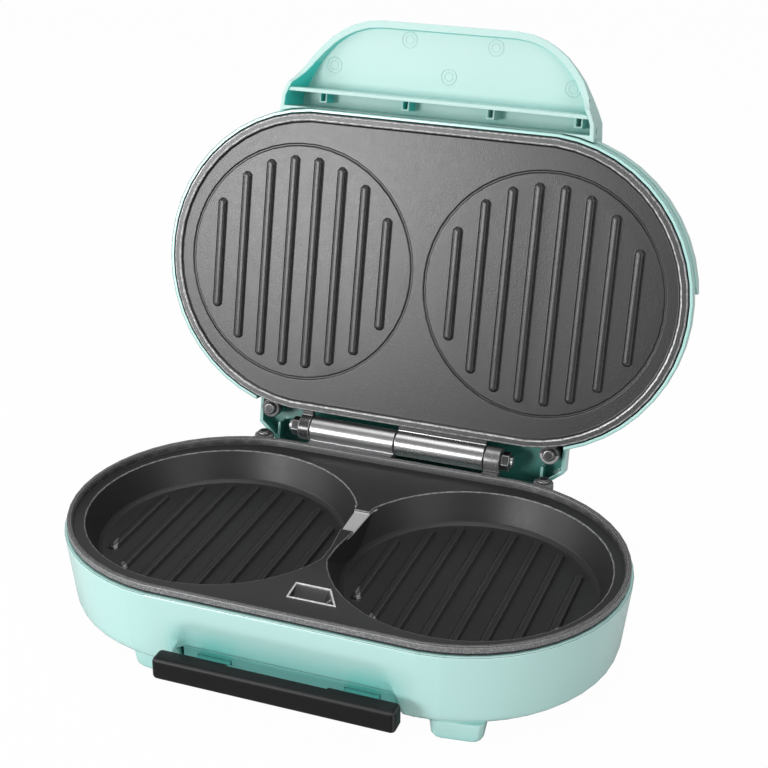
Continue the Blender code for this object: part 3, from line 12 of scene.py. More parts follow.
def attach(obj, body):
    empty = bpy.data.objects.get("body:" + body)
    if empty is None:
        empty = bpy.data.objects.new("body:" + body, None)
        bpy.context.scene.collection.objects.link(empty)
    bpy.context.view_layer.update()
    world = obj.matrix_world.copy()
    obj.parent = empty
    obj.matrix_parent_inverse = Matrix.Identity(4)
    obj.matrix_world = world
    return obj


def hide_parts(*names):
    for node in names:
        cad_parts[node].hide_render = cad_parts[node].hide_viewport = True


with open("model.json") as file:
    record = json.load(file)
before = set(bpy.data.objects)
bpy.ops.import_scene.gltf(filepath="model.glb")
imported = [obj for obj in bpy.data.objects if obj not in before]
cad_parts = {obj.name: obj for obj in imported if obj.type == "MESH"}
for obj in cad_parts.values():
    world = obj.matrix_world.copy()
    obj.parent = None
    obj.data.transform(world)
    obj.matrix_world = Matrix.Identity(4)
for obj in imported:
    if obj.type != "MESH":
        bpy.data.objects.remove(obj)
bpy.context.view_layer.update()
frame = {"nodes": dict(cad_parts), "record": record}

from types import SimpleNamespace

# Camera: it looks down from the front right at the open maker, as in the photograph, from about
# 0.7 m away through a long lens.
camera_data = bpy.data.cameras.new("camera")
camera_data.lens = 72.46
camera_data.sensor_width = 36.0
camera = bpy.data.objects.new("camera", camera_data)
camera.location = (0.232372, -0.610144, 0.412203)
camera.rotation_euler = (radians(65.42136), radians(-0.39806), radians(20.26663))
bpy.context.scene.collection.objects.link(camera)
bpy.context.scene.camera = camera

# Lower housing: one injection moulding in mint ABS, coloured right through and polished, with
# four feet, a scooped front wall and a slot for the drip tray. Its edges are softly rounded.


class Shade:
    """A socket of a material's nodes that takes part in sums as a number does."""

    def __init__(self, tree, socket=None):
        self.tree = tree
        self.socket = socket

    def node(self, kind, settings, inputs, output=0):
        """Add a node, set it up, fill its sockets and give one of its outputs."""
        added = self.tree.nodes.new("ShaderNode" + kind)
        for name, value in settings.items():
            setattr(added, name, value)
        for name, value in inputs.items():
            if isinstance(value, Shade):
                self.tree.links.new(value.socket, added.inputs[name])
            else:
                added.inputs[name].default_value = value
        return Shade(self.tree, added.outputs[output])

    def maths(self, operation, *others):
        """A Math node on this value and any others."""
        return self.node("Math", {"operation": operation}, dict(enumerate((self, *others))))

    def __add__(self, other):
        return self.maths("ADD", other)

    def __sub__(self, other):
        return self.maths("SUBTRACT", other)

    def __rsub__(self, other):
        return self.maths("MULTIPLY_ADD", -1.0, other)

    def __mul__(self, other):
        return self.maths("MULTIPLY", other)

    __radd__ = __add__
    __rmul__ = __mul__

    def step(self, low, high):
        """A soft step from 0 at one value to 1 at another."""
        return self.node("MapRange", {"interpolation_type": "SMOOTHSTEP"},
                         {"Value": self, "From Min": low, "From Max": high})

    def band(self, rise, fall):
        """1 between two soft steps, each given by its two ends, and 0 on both sides."""
        return self.step(*rise) * (1 - self.step(*fall))

    def part(self, axis):
        """One of a place's three numbers."""
        return self.node("SeparateXYZ", {}, {"Vector": self}, axis)

    def grain(self, size, detail=3.0, rough=0.5):
        """Noise at this place, with the size of its blotches in metres."""
        return self.node("TexNoise", {}, {"Vector": self, "Scale": 1 / size, "Detail": detail,
                                          "Roughness": rough})

    def tint(self, first, second):
        """A colour between two others, by this share."""
        return self.node("Mix", {"data_type": "RGBA"}, {0: self, 6: first, 7: second}, 2)

    def raised(self, depth):
        """A bent normal from this height, 0 to 1, whose full height is given in metres."""
        return self.node("Bump", {}, {"Height": self, "Distance": depth})


def scaled(colour, share, lift=0.0):
    """A colour made darker or brighter, with its alpha."""
    return (*[value * share + lift for value in colour], 1.0)


def new_finish(name, colour, roughness, metallic=0.0, mottle=0.14):
    """A material with a slightly uneven colour; gives it, its shader and its coordinates."""
    material = bpy.data.materials.new(name)
    material.use_nodes = True
    material.diffuse_color = (*colour, 1.0)
    shader = material.node_tree.nodes["Principled BSDF"]
    shader.inputs["Base Color"].default_value = (*colour, 1.0)
    shader.inputs["Roughness"].default_value = roughness
    shader.inputs["Metallic"].default_value = metallic
    place = Shade(material.node_tree).node("TexCoord", {}, {}, "Object")
    if mottle:
        dim = scaled(colour, 1 - mottle)
        bright = scaled(colour, 1 + mottle)
        feed(shader, Base_Color=place.grain(0.0025, rough=0.6).tint(dim, bright))
    return material, shader, place


def feed(shader, **values):
    """Link worked-out values to the shader, by its sockets' names with _ for spaces."""
    for name, value in values.items():
        value.tree.links.new(value.socket, shader.inputs[name.replace("_", " ")])


def wear_and_painted_light_at(place):
    """Marks from refined: X on outer edges, for wear and painted highlight; Y, share of painted
    shade.
    """
    return place.node("Attribute", {"attribute_name": "wear_and_painted_light"}, {}, "Color")


def mint_plastic(name, colour, reach, depth=0.4, deep=(0.17, 0.62, 0.57, 1.0), gloss=0.5):
    """Plastic whose hollows, found by ambient occlusion, are painted a deeper green as painted
    shade.

    reach is how far off in metres a wall still counts for a hollow, depth how much of the deep
    colour of painted shade a hollow shows, and gloss is 0 for satin.
    """
    material, shader, place = new_finish(name, colour, 0.25, mottle=0.0)
    base = place.grain(0.040, 2.0).tint(scaled(colour, 0.985), scaled(colour, 1.015))
    # Painted shade: hollows found by ambient occlusion take the deep colour.
    open_share = place.node("AmbientOcclusion", {"samples": 8}, {"Distance": reach}, "AO")
    hollow = (1 - open_share.step(0.25, 0.92)) * depth
    marked = wear_and_painted_light_at(place)
    # Faces that refined marks take a painted shade of a still deeper green.
    painted_shade_green = (0.05, 0.60, 0.54, 1.0)
    painted_deep_shade = marked.part("Y").tint(hollow.tint(base, deep), painted_shade_green)
    specks = place.grain(0.0006, 2.0).step(0.66, 0.76) * 0.08
    speckled = specks.tint(painted_deep_shade, scaled(colour, 0.9))
    # Outer edges are lightened, for wear and as a painted highlight.
    rubbed_and_glint = marked.part("X") * 0.35
    feed(shader, Base_Color=rubbed_and_glint.tint(speckled, scaled(colour, 0.9, 0.09)),
         Roughness=0.50 - gloss * 0.5 + place.grain(0.02) * 0.03,
         Normal=place.grain(0.0005, 2.0).raised(0.000008))
    shader.inputs["IOR"].default_value = 1.5
    shader.inputs["Coat Weight"].default_value = gloss
    shader.inputs["Coat Roughness"].default_value = 0.15
    return material


def refined(name, node, finish, slot, soft, turn=28.0, first=None, spare=None, painted_deep_shade=None):
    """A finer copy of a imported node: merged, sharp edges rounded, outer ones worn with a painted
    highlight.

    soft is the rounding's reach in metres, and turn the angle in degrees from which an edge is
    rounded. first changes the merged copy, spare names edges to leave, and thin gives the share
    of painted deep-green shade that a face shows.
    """
    same_point = 0.00002
    flat_enough = radians(0.3)
    shape = bmesh.new()
    shape.from_mesh(frame["nodes"][node].data)
    wear_and_painted_light = shape.loops.layers.float_color.new("wear_and_painted_light")
    bmesh.ops.remove_doubles(shape, verts=shape.verts, dist=same_point)
    bmesh.ops.dissolve_limit(shape, angle_limit=flat_enough, use_dissolve_boundaries=False,
                             verts=shape.verts, edges=shape.edges, delimit=set())
    if first:
        first(shape)
    surface = BVHTree.FromBMesh(shape)
    edges = [edge for edge in shape.edges if edge.is_manifold
             and edge.calc_face_angle(0.0) > radians(turn) and not (spare and spare(edge))]
    made = bmesh.ops.bevel(shape, geom=edges, offset=soft, offset_type="OFFSET", affect="EDGES",
                           segments=2, profile=0.5, material=-1, clamp_overlap=False,
                           loop_slide=True)
    rounded = set(made["faces"])
    stray = 0.7 * soft
    for point in shape.verts:
        nearest, *_, gap = surface.find_nearest(point.co)
        if gap > stray:
            point.co = nearest
    # Rounded outer faces are marked for wear and a painted highlight; the other mark gives painted
    # shade.
    for face in shape.faces:
        proud = False
        if face in rounded:
            middle = face.calc_center_median()
            nearest, *_ = surface.find_nearest(middle)
            proud = (nearest - middle).dot(face.normal) > 0
        painted_shade_share = painted_deep_shade(face) if painted_deep_shade else 0.0
        for corner in face.loops:
            corner[wear_and_painted_light] = (float(proud), painted_shade_share, 0.0, 1.0)
    untangled(shape, wear_and_painted_light)
    settled(name, shape, finish, slot, node)


def untangled(shape, wear_and_painted_light):
    """Cut each flat face whose outline the rounding left crossed at a corner into triangles."""
    folded_area = -0.00000001
    crossed = {}
    for corners in shape.calc_loop_triangles():
        first, second, third = (corner.vert.co for corner in corners)
        normal = corners[0].face.normal
        if (second - first).cross(third - first).dot(normal) < folded_area:
            crossed[corners[0].face] = True
    inside_only = 1
    same_place = 0.0000001
    for face in crossed:
        ring = list(face.verts)
        level = face.normal.rotation_difference(Vector((0.0, 0.0, 1.0)))
        flat = [level @ point.co for point in ring]
        height = sum(place.z for place in flat) / len(flat)
        places, _, cuts, sources, *_ = delaunay_2d_cdt(
            [place.to_2d() for place in flat], [], [list(range(len(ring)))], inside_only,
            same_place)
        points = [ring[source[0]] if source else
                  shape.verts.new(level.inverted() @ Vector((*place, height)))
                  for place, source in zip(places, sources)]
        shade = face.loops[0][wear_and_painted_light].copy()
        shape.faces.remove(face)
        for cut in cuts:
            corners = [points[index] for index in cut]
            if shape.faces.get(corners) is None:
                for corner in shape.faces.new(corners).loops:
                    corner[wear_and_painted_light] = shade


def settled(name, shape, finish, slot, *nodes, body=None):
    """Turn a bmesh into a smooth piece that rides with, and may stand for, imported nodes."""
    for face in shape.faces:
        face.smooth = True
    mesh = bpy.data.meshes.new(name)
    shape.to_mesh(mesh)
    shape.free()
    mesh.materials.append(finish)
    piece = bpy.data.objects.new(name, mesh)
    bpy.context.scene.collection.objects.link(piece)
    even = piece.modifiers.new("even_light", "WEIGHTED_NORMAL")
    even.keep_sharp = True
    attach(piece, body or carrier_of(nodes[0]))
    if nodes:
        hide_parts(*nodes)


def carrier_of(node):
    """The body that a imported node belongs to."""
    bodies = frame["record"]["behaviour"]["bodies"]
    return next(body for body, nodes in bodies.items() if node in nodes)


def soft_scoop(shape):
    """Cut the front wall into a fine grid and smooth it along the mouth of the scoop."""
    wall_back = -0.090
    column = 0.0025
    row = 0.0015
    lowest_row = 0.0135
    cuts = [((count * column, 0, 0), (1, 0, 0)) for count in range(-30, 31)]
    cuts += [((0, 0, lowest_row + count * row), (0, 0, 1)) for count in range(22)]
    for place, way in cuts:
        faces = [face for face in shape.faces
                 if face.normal.y < -0.2 and face.calc_center_median().y < wall_back]
        edges = dict.fromkeys(edge for face in faces for edge in face.edges)
        points = dict.fromkeys(point for face in faces for point in face.verts)
        bmesh.ops.bisect_plane(shape, geom=faces + list(edges) + list(points), dist=0.000001,
                               plane_co=place, plane_no=way)
    half_width = 0.068
    foot = 0.0139
    top = 0.0432
    rounds = 9
    mouth = [point for point in shape.verts
             if point.normal.y < -0.3 and point.co.y < wall_back
             and abs(point.co.x) < half_width and foot < point.co.z < top
             and not by_slot(point.co)]
    for count in range(rounds):
        bmesh.ops.smooth_vert(shape, verts=mouth, factor=0.5, use_axis_x=True, use_axis_y=True,
                              use_axis_z=True)


def by_slot(place):
    """True at the slot that the tray goes through."""
    top = 0.0245
    left = -0.0560
    right = 0.0600
    back = -0.085
    return place.z < top and left < place.x < right and place.y < back


def at_slot(edge):
    """True for an edge of that slot, which the moulding leaves sharp."""
    return all(by_slot(end.co) for end in edge.verts)


def scoop_shade(face):
    """How much painted shade, in deep green, the lowest part of the scoop shows."""
    half_width = 0.058
    top = 0.037
    back = -0.088
    scoop_middle = 0.0015
    middle = face.calc_center_median()
    aside = abs(middle.x - scoop_middle)
    if middle.y > back or aside > half_width or middle.z > top:
        return 0.0
    inward = min(1.0, (half_width - aside) / 0.010)
    return 0.42 * inward * min(1.0, (top - middle.z) / 0.014)


# The housing's hollows and the bottom of its scoop get painted deep-green shade.
housing_plastic = mint_plastic("mint_housing_plastic", (0.44, 0.685, 0.65), reach=0.014,
                               depth=0.3)
refined("housing_moulding", "lower_housing", housing_plastic, "mint_housing", soft=0.0005,
        first=soft_scoop, spare=at_slot, painted_deep_shade=scoop_shade)

# Foot pads: four round pads of soft black rubber that keep the maker from sliding. Each is pushed
# into the pocket in the underside of its foot and stands a little proud of it.
pad_rubber, pad_shader, pad_place = new_finish("pad_rubber", (0.03, 0.03, 0.032), 0.8)
feed(pad_shader, Roughness=0.7 + pad_place.grain(0.002) * 0.25,
     Normal=pad_place.grain(0.0004).raised(0.00005))
for end in ("front", "rear"):
    for side in ("left", "right"):
        refined(f"pad_{end}_{side}", f"foot_pad_{end}_{side}", pad_rubber, "rubber_pad",
                soft=0.0004)

# Lower plate: cast aluminium with two ribbed wells, sprayed with a dark non-stick coat. Fine
# pale flakes show in it, most of all on the blasted rim, whose paler tone is partly painted sheen.
# Its edges are rubbed and carry a painted highlight, and its notch is painted pale as a highlight.
# Its outline is a straight stretch along a middle line, with a half circle at each end.
straight_half = 0.0583
middle_line = -0.02899


def span(first, second):
    """How far away two offsets at a right angle lead."""
    return (first * first + second * second).maths("SQRT")


def plate_coat(name, base, rim, place_of, rim_from, flake_share, side=1.0):
    """Dark speckled coat; rim paler, partly as painted sheen; worn edges paler, partly as painted
    highlight.

    rim_from is the rim's inner radius, and side how much brighter, as painted light, its outer
    side is. Gives the material and shader, the shares of rim, side, and wear with painted
    highlight, the colour, and the place, both as it is and with the plate level.
    """
    material, shader, place = new_finish(name, base, 0.4, 0.25, mottle=0.0)
    flat = place_of(place)
    past = (flat.part("X").maths("ABSOLUTE") - straight_half).maths("MAXIMUM", 0.0)
    out = span(past, flat.part("Y") - middle_line)
    on_rim = out.step(rim_from, rim_from + 0.0004)
    on_side = out.step(0.0756, 0.0759)
    on_knuckles = out.step(0.0775, 0.0785)
    flakes = place.grain(0.00045, 2.0, 0.6).step(0.50, 0.66)
    cloudy = place.grain(0.003, 4.0, 0.6).tint(scaled(base, 0.94), scaled(base, 1.06))
    coat = (flakes * flake_share).tint(cloudy, scaled(base, 2.6))
    # The rim's paler colour is partly a painted sheen, and side brightens its outer side as
    # painted light.
    dull = on_side.tint(scaled(rim, 0.62), scaled(rim, 0.62 * side))
    bright = on_side.tint(scaled(rim, 1.6), scaled(rim, 1.6 * side))
    rim_with_painted_sheen = flakes.tint(dull, bright)
    cast = (0.6 + on_rim * 0.4) * (1 - on_knuckles * 0.9)
    feed(shader, Normal=(place.grain(0.0007, rough=0.6) * cast).raised(0.00010))
    return SimpleNamespace(material=material, shader=shader, place=place, flat=flat, rim=on_rim,
                           side=on_side, colour=on_rim.tint(coat, rim_with_painted_sheen),
                           wear_and_glint=wear_and_painted_light_at(place).part("X"))


def as_it_is(place):
    """The lower plate lies level already."""
    return place


def crowned(shape, way, level):
    """Drop the edges of the ribs' flat crests a little, so that the ribs are round on top."""
    shoulder_width = 0.0009
    shoulder_drop = 0.0003
    crests = [face for face in shape.faces if face.normal.dot(way) > 0.99
              and abs(face.calc_center_median().dot(way) - level) < 0.0001]
    outline = dict.fromkeys(point for face in crests for point in face.verts)
    bmesh.ops.inset_individual(shape, faces=crests, thickness=shoulder_width,
                               use_even_offset=True)
    for point in outline:
        point.co -= way * shoulder_drop


def crown_lower(shape):
    """Round the ribs of the lower plate, whose crests lie at one level."""
    crest_level = 0.0351
    crowned(shape, Vector((0.0, 0.0, 1.0)), crest_level)


# The lower rim's outer side is painted 1.9 times brighter, as painted light.
lower = plate_coat("lower_plate_coat", (0.020, 0.020, 0.0204), (0.115, 0.115, 0.116), as_it_is,
                   rim_from=0.0732, flake_share=0.2, side=1.9)
height = lower.flat.part("Z")
depth = lower.flat.part("Y")
across = lower.flat.part("X").maths("ABSOLUTE")
notch_floor = (0.0466, 0.0468)
notch_top = (0.0474, 0.0476)
notch_side = (0.0056, 0.0058)
notch_front = (-0.030, -0.029)
in_notch = (height.band(notch_floor, notch_top) * (1 - across.step(*notch_side))
            * depth.step(*notch_front))
well_middle = 0.062
rib_tip_start = (0.0498, 0.0507)
rib_tip_end = (0.0521, 0.0524)
rib_shoulder = (0.0337, 0.0342)
rib_crest = (0.0349, 0.0352)
front_half = (-0.036, -0.034)
from_well = span(across - well_middle, depth - middle_line)
# Painted glint: the rounded ends of the ribs in the front half are lightened.
rib_end_glint = (from_well.band(rib_tip_start, rib_tip_end) * height.band(rib_shoulder, rib_crest)
           * (1 - depth.step(*front_half)))
# The barrels are bare metal, but at the right end the coat has stayed on.
bare_barrel = depth.step(0.0497, 0.0500)
end_barrel = bare_barrel * lower.flat.part("X").step(0.0432, 0.0436)
# The notch is painted in the bare-metal grey as a painted highlight; the barrels are bare metal.
bare_barrels_and_notch_highlight = in_notch.maths("MAXIMUM", bare_barrel - end_barrel * 0.9)
upper_edges = height.step(0.0445, 0.0465)
# Outer edges are lightened, for wear and as a painted highlight, most on the upper edges.
rub_and_edge_glint = (lower.wear_and_glint * (0.30 + lower.place.grain(0.002).step(0.35, 0.65) * 0.35)
       * (0.15 + upper_edges * 0.85) * (1 - lower.rim * 0.6))
# Painted highlight: the front of the land is lightened a little towards white.
front_land_highlight = height.step(0.0470, 0.0482) * (1 - depth.step(-0.075, -0.035)) * (1 - lower.rim)
land_with_painted_highlight = (front_land_highlight * 0.018).tint(lower.colour, (1.0, 1.0, 1.0, 1.0))
# Painted shadow: the foot of the rim's outer side, just above the housing, is near black.
gap_shadow = lower.side * (1 - height.step(0.0488, 0.0491))
gap_shadowed = gap_shadow.tint(land_with_painted_highlight, (0.003, 0.006, 0.006, 1.0))
edged = rub_and_edge_glint.maths("MAXIMUM", rib_end_glint * 0.8).tint(gap_shadowed, (0.34, 0.34, 0.345, 1.0))
bare_metal_and_highlight_grey = (0.45, 0.45, 0.455, 1.0)
feed(lower.shader, Base_Color=bare_barrels_and_notch_highlight.tint(edged, bare_metal_and_highlight_grey),
     Metallic=0.2 + (bare_barrel - end_barrel * 0.5) * 0.75,
     Roughness=0.40 + lower.place.grain(0.004, 4.0) * 0.1 - bare_barrel * 0.14)
refined("lower_casting", "lower_plate", lower.material, "coated_plate", soft=0.00045,
        turn=20, first=crown_lower)

# Lip of the fat drain: the edge of the casting round the hole where melted fat runs down into
# the tray. The coat is rubbed off it, so that it stands round the hole as a bright bead.
mouth = [(-0.0026, -0.08639), (0.0186, -0.08639), (0.0124, -0.07559), (-0.0032, -0.07559)]
brim = [(-0.00336, -0.08719), (0.01998, -0.08719), (0.01286, -0.07479), (-0.00404, -0.07479)]
lip_foot = 0.0483
lip_crest = 0.0489
lip_shape = bmesh.new()
lip_rings = [[lip_shape.verts.new((*corner, level)) for corner in outline]
             for outline, level in ((mouth, lip_foot), (mouth, lip_crest), (brim, lip_crest),
                                    (brim, lip_foot))]
for ring, following in zip(lip_rings, lip_rings[1:] + lip_rings[:1]):
    for index in range(len(ring)):
        lip_shape.faces.new((ring[index - 1], ring[index], following[index],
                             following[index - 1]))
bmesh.ops.recalc_face_normals(lip_shape, faces=lip_shape.faces)
bmesh.ops.bevel(lip_shape, geom=[edge for edge in lip_shape.edges
                                 if edge.calc_face_angle(0.0) > radians(30)],
                offset=0.0002, offset_type="OFFSET", affect="EDGES", segments=2, profile=0.5,
                material=-1, clamp_overlap=True)
bare, bare_shader, bare_place = new_finish("rubbed_lip", (0.42, 0.42, 0.425), 0.35, 0.3,
                                           mottle=0.0)
scuffs = bare_place.grain(0.0012).step(0.3, 0.7)
feed(bare_shader,
     Base_Color=scuffs.tint((0.55, 0.55, 0.552, 1.0), (0.80, 0.80, 0.805, 1.0)),
     Roughness=0.3 + bare_place.grain(0.0008) * 0.15)
settled("drain_lip", lip_shape, bare, "coated_plate", body="base")

# Upper plate: a cast plate of the same make, flat but for its ribs and two fine rings, with a
# doubled rim. It is screwed under the lid by two lugs.
hinge_place = (0.0, 0.05651, 0.0558)
lid_angle = 102.35
to_open = (Matrix.Translation(hinge_place) @ Matrix.Rotation(radians(-lid_angle), 4, "X")
           @ Matrix.Translation(-Vector(hinge_place)))


def as_closed(place):
    """The place on the lid turned shut."""
    return place.node("VectorRotate", {"rotation_type": "X_AXIS"},
                      {"Vector": place, "Center": hinge_place, "Angle": radians(lid_angle)})


def crown_upper(shape):
    """Round the ribs of the upper plate, whose crests face down when the lid is shut."""
    crest_level = 0.0525
    way = to_open.to_3x3() @ Vector((0.0, 0.0, -1.0))
    crowned(shape, way, (to_open @ Vector((0.0, 0.0, crest_level))).dot(way))


upper = plate_coat("upper_plate_coat", (0.016, 0.016, 0.0162), (0.05, 0.05, 0.0505), as_closed,
                   rim_from=0.0719, flake_share=0.6)
from_axle = span(upper.place.part("Z") - hinge_place[2], upper.place.part("Y") - hinge_place[1])
# The barrels are bare metal here too, but at the left end the coat has stayed on.
bare_barrel = 1 - from_axle.step(0.0069, 0.0072)
end_barrel = bare_barrel * (1 - upper.place.part("X").step(-0.0508, -0.0504))
rim_face = 1 - upper.flat.part("Z").step(0.0533, 0.0536)
# Outer edges, most of all the rim's, are lightened for wear and as a painted highlight.
rub_and_edge_glint = (upper.wear_and_glint * (0.1 + rim_face * upper.rim)
       * (0.35 + upper.place.grain(0.002).step(0.35, 0.65) * 0.4))
edged = rub_and_edge_glint.tint(upper.colour, (0.55, 0.55, 0.555, 1.0))
feed(upper.shader, Base_Color=(bare_barrel - end_barrel * 0.9).tint(edged, bare_metal_and_highlight_grey),
     Metallic=0.3 + (bare_barrel - end_barrel * 0.5) * 0.65,
     Roughness=0.30 + upper.place.grain(0.004, 4.0) * 0.05 - bare_barrel * 0.05)
upper.shader.inputs["Specular IOR Level"].default_value = 0.7
refined("upper_casting", "upper_plate", upper.material, "coated_plate", soft=0.00045,
        turn=20, first=crown_upper)

# Lid shell: the polished mint moulding behind the upper plate, with the hood that covers the
# hinge. The plate is screwed to it by two lugs, and its hollows get a near-black green painted
# shade.
shell_mint = (0.42, 0.685, 0.645)
shell_plastic = mint_plastic("mint_lid_plastic", shell_mint, reach=0.035, depth=0.95,
                             deep=(0.01, 0.17, 0.14, 1.0))
refined("lid_moulding", "lid_shell", shell_plastic, "mint_lid", soft=0.0004)

# Front cover: a satin mint moulding over the front of the lid, in one with the hollow handle.
# Four screws hold it from inside the shell.


def handle_wall_shade(face):
    """How much painted shade, in deep green, a wall of the hollow handle that faces the hinge or
    the right shows.
    """
    ledge_level = 0.235
    root_level = 0.205
    middle = face.calc_center_median()
    if middle.z > ledge_level and face.normal.z < -0.3:
        return 0.7
    if middle.z > root_level and middle.x < 0.0 and face.normal.x > 0.2:
        return min(1.0, face.normal.x * 1.6)
    return 0.0


# The cover's hollows and the handle's walls that face the hinge or the right get painted shade.
cover_plastic = mint_plastic("mint_cover_plastic", (0.46, 0.655, 0.62), reach=0.006, gloss=0.0)
refined("cover_moulding", "lid_cover", cover_plastic, "mint_cover", soft=0.0004,
        painted_deep_shade=handle_wall_shade)

# Ejector marks: the pins that push the cover out of its mould leave five round marks on the
# handle's inner face. Each is a pair of low rings in the cover's own plastic.
mark_places = ((-0.0204, -0.1444), (0.0241, -0.1441), (-0.0598, -0.1289), (0.0010, -0.1282),
               (0.0639, -0.1279))
mark_rings = ((0.0041, 0.0005, 0.00012), (0.0023, 0.0004, 0.00007))
below_face = 0.0600
toward_face = 0.0700
cover_shape = bmesh.new()
cover_shape.from_mesh(frame["nodes"]["lid_cover"].data)
cover_surface = BVHTree.FromBMesh(cover_shape)
cover_shape.free()
marks = bmesh.new()
for across, along in mark_places:
    start = to_open @ Vector((across, along, below_face))
    way = (to_open @ Vector((across, along, toward_face)) - start).normalized()
    spot, normal, *_ = cover_surface.ray_cast(start, way)
    place = Matrix.Translation(spot) @ normal.to_track_quat("Z", "Y").to_matrix().to_4x4()
    for radius, width, rise in mark_rings:
        made = bmesh.ops.create_circle(marks, cap_ends=True, segments=40, radius=radius)
        disc = list(made["verts"][0].link_faces)
        rim = bmesh.ops.inset_region(marks, faces=disc, thickness=width, use_boundary=True,
                                     use_even_offset=True)["faces"]
        bmesh.ops.delete(marks, geom=disc, context="FACES_ONLY")
        solid = bmesh.ops.solidify(marks, geom=rim, thickness=-rise)["geom"]
        points = [point for face in rim for point in face.verts]
        points += [item for item in solid if isinstance(item, bmesh.types.BMVert)]
        bmesh.ops.transform(marks, matrix=place, verts=list(dict.fromkeys(points)))
bmesh.ops.recalc_face_normals(marks, faces=marks.faces)
settled("ejector_marks", marks, cover_plastic, "mint_cover", body="lid")

# Drip tray and its bar: the mint tray closes the slot in the scoop, and the black bar in front
# of it is pushed on by two tongues, coloured mint and darkened with painted shade; the tray's
# front wall gets painted shade too.


def tray_front_shade(face):
    """How much painted shade, in deep green, the tray's front wall shows."""
    wall_back = -0.0975
    return 0.6 if face.calc_center_median().y < wall_back else 0.0


tray_plastic = mint_plastic("mint_tray_plastic", shell_mint, reach=0.012)
refined("tray_moulding", "drip_tray", tray_plastic, "mint_tray", soft=0.00015, painted_deep_shade=tray_front_shade)
bar_black = (0.007, 0.007, 0.0072)
black, black_shader, black_place = new_finish("black_bar_plastic", bar_black, 0.36, mottle=0.0)
# The tongues are painted a dark mint, a painted shade that sinks them into the scoop's shadow.
on_tongues = black_place.part("Y").step(-0.1088, -0.1086)
# Outer edges are lightened a little, for wear and as a painted highlight.
rub_and_edge_glint = wear_and_painted_light_at(black_place).part("X") * 0.6
bar_colour = rub_and_edge_glint.tint((*bar_black, 1.0), (0.06, 0.06, 0.061, 1.0))
feed(black_shader, Base_Color=on_tongues.tint(bar_colour, (0.14, 0.52, 0.48, 1.0)),
     Roughness=0.3 + black_place.grain(0.006, 4.0) * 0.14,
     Normal=black_place.grain(0.0005).raised(0.00003))
black_shader.inputs["Specular IOR Level"].default_value = 0.15
refined("bar_moulding", "tray_bar", black, "black_bar", soft=0.0005)

# Hinge axle, clamp bars and thermostat: satin steel. The axle runs through the barrels of both
# plates, and the flat bars press the heaters to the plates.


def dress(finish, *names):
    """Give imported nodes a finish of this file."""
    for name in names:
        for slot in frame["nodes"][name].material_slots:
            slot.material = finish


steel, steel_shader, steel_place = new_finish("satin_steel", (0.45, 0.45, 0.46), 0.3, 1.0)
feed(steel_shader, Roughness=0.26 + steel_place.grain(0.003, 4.0) * 0.2,
     Normal=steel_place.grain(0.0006).raised(0.00003))
dress(steel, "hinge_axle", "thermostat")
for side in ("left", "right"):
    dress(steel, f"heater_clamp_lower_{side}", f"heater_clamp_upper_{side}")

# Cord gland: a black rubber sleeve with a flange outside, set in a hole of the rear wall where
# the supply cord would leave.


def uneven_gloss(name, colour, roughness, least, size, more, metallic=0.0):
    """A finish whose roughness wanders up from a least value, in patches of a size in metres."""
    material, shader, place = new_finish(name, colour, roughness, metallic)
    feed(shader, Roughness=least + place.grain(size) * more)
    return material


gland_rubber = uneven_gloss("gland_rubber", (0.02, 0.02, 0.021), 0.55, least=0.45,
                            size=0.002, more=0.2)
refined("gland_moulding", "cord_gland", gland_rubber, "black_gland", soft=0.0003)

# Screws and axle nuts: blackened steel, bright at the edges with wear and a painted highlight.
# The screws have plain round heads, and a nut holds each end of the axle.
screw_black = (0.05, 0.05, 0.052)
dark_steel, dark_shader, dark_place = new_finish("dark_screw_steel", screw_black, 0.35, 0.8,
                                                 mottle=0.0)
# Outer edges are lightened, for wear and as a painted highlight.
rub_and_edge_glint = wear_and_painted_light_at(dark_place).part("X")
feed(dark_shader, Base_Color=rub_and_edge_glint.tint((*screw_black, 1.0), (0.26, 0.26, 0.265, 1.0)),
     Roughness=0.28 + dark_place.grain(0.001) * 0.2,
     Normal=dark_place.grain(0.0004).raised(0.00004))
for side in ("left", "right"):
    refined(f"nut_{side}", f"axle_nut_{side}", dark_steel, "dark_screw", soft=0.0004)
    refined(f"plate_fixing_{side}", f"plate_screw_{side}", dark_steel, "dark_screw",
            soft=0.0003)
    refined(f"lid_fixing_{side}", f"lid_screw_{side}", dark_steel, "dark_screw", soft=0.0003)
    dress(dark_steel, f"cover_screw_{side}_0", f"cover_screw_{side}_1",
          f"clamp_screw_lower_{side}", f"clamp_screw_upper_{side}", f"cord_clamp_screw_{side}")
dress(dark_steel, *[f"reflector_screw_{index}" for index in range(4)])

# Heaters: one steel-sheathed tube under the lower plate and one behind the upper, each bent into
# two loops with its ends in the middle.
sheath = uneven_gloss("heater_sheath", (0.18, 0.17, 0.16), 0.5, least=0.4, size=0.004,
                      more=0.25, metallic=0.9)
dress(sheath, "lower_heater", "upper_heater")

# Reflector and tray tunnel: thin bright sheet. The reflector is screwed to the back of the upper
# plate, over its heater, and the bent tunnel guides the tray and sits on studs of the housing.
bright_sheet = uneven_gloss("bright_sheet", (0.75, 0.76, 0.77), 0.25, least=0.2, size=0.006,
                            more=0.2, metallic=1.0)
dress(bright_sheet, "reflector", "tray_tunnel")

# Terminal block and cord clamp: ivory plastic, inside the base. The block stands in a cradle, and
# the clamp is screwed to two posts in front of the gland.
ivory = uneven_gloss("ivory_plastic", (0.75, 0.72, 0.63), 0.45, least=0.38, size=0.003,
                     more=0.2)
dress(ivory, "terminal_block", "cord_clamp")

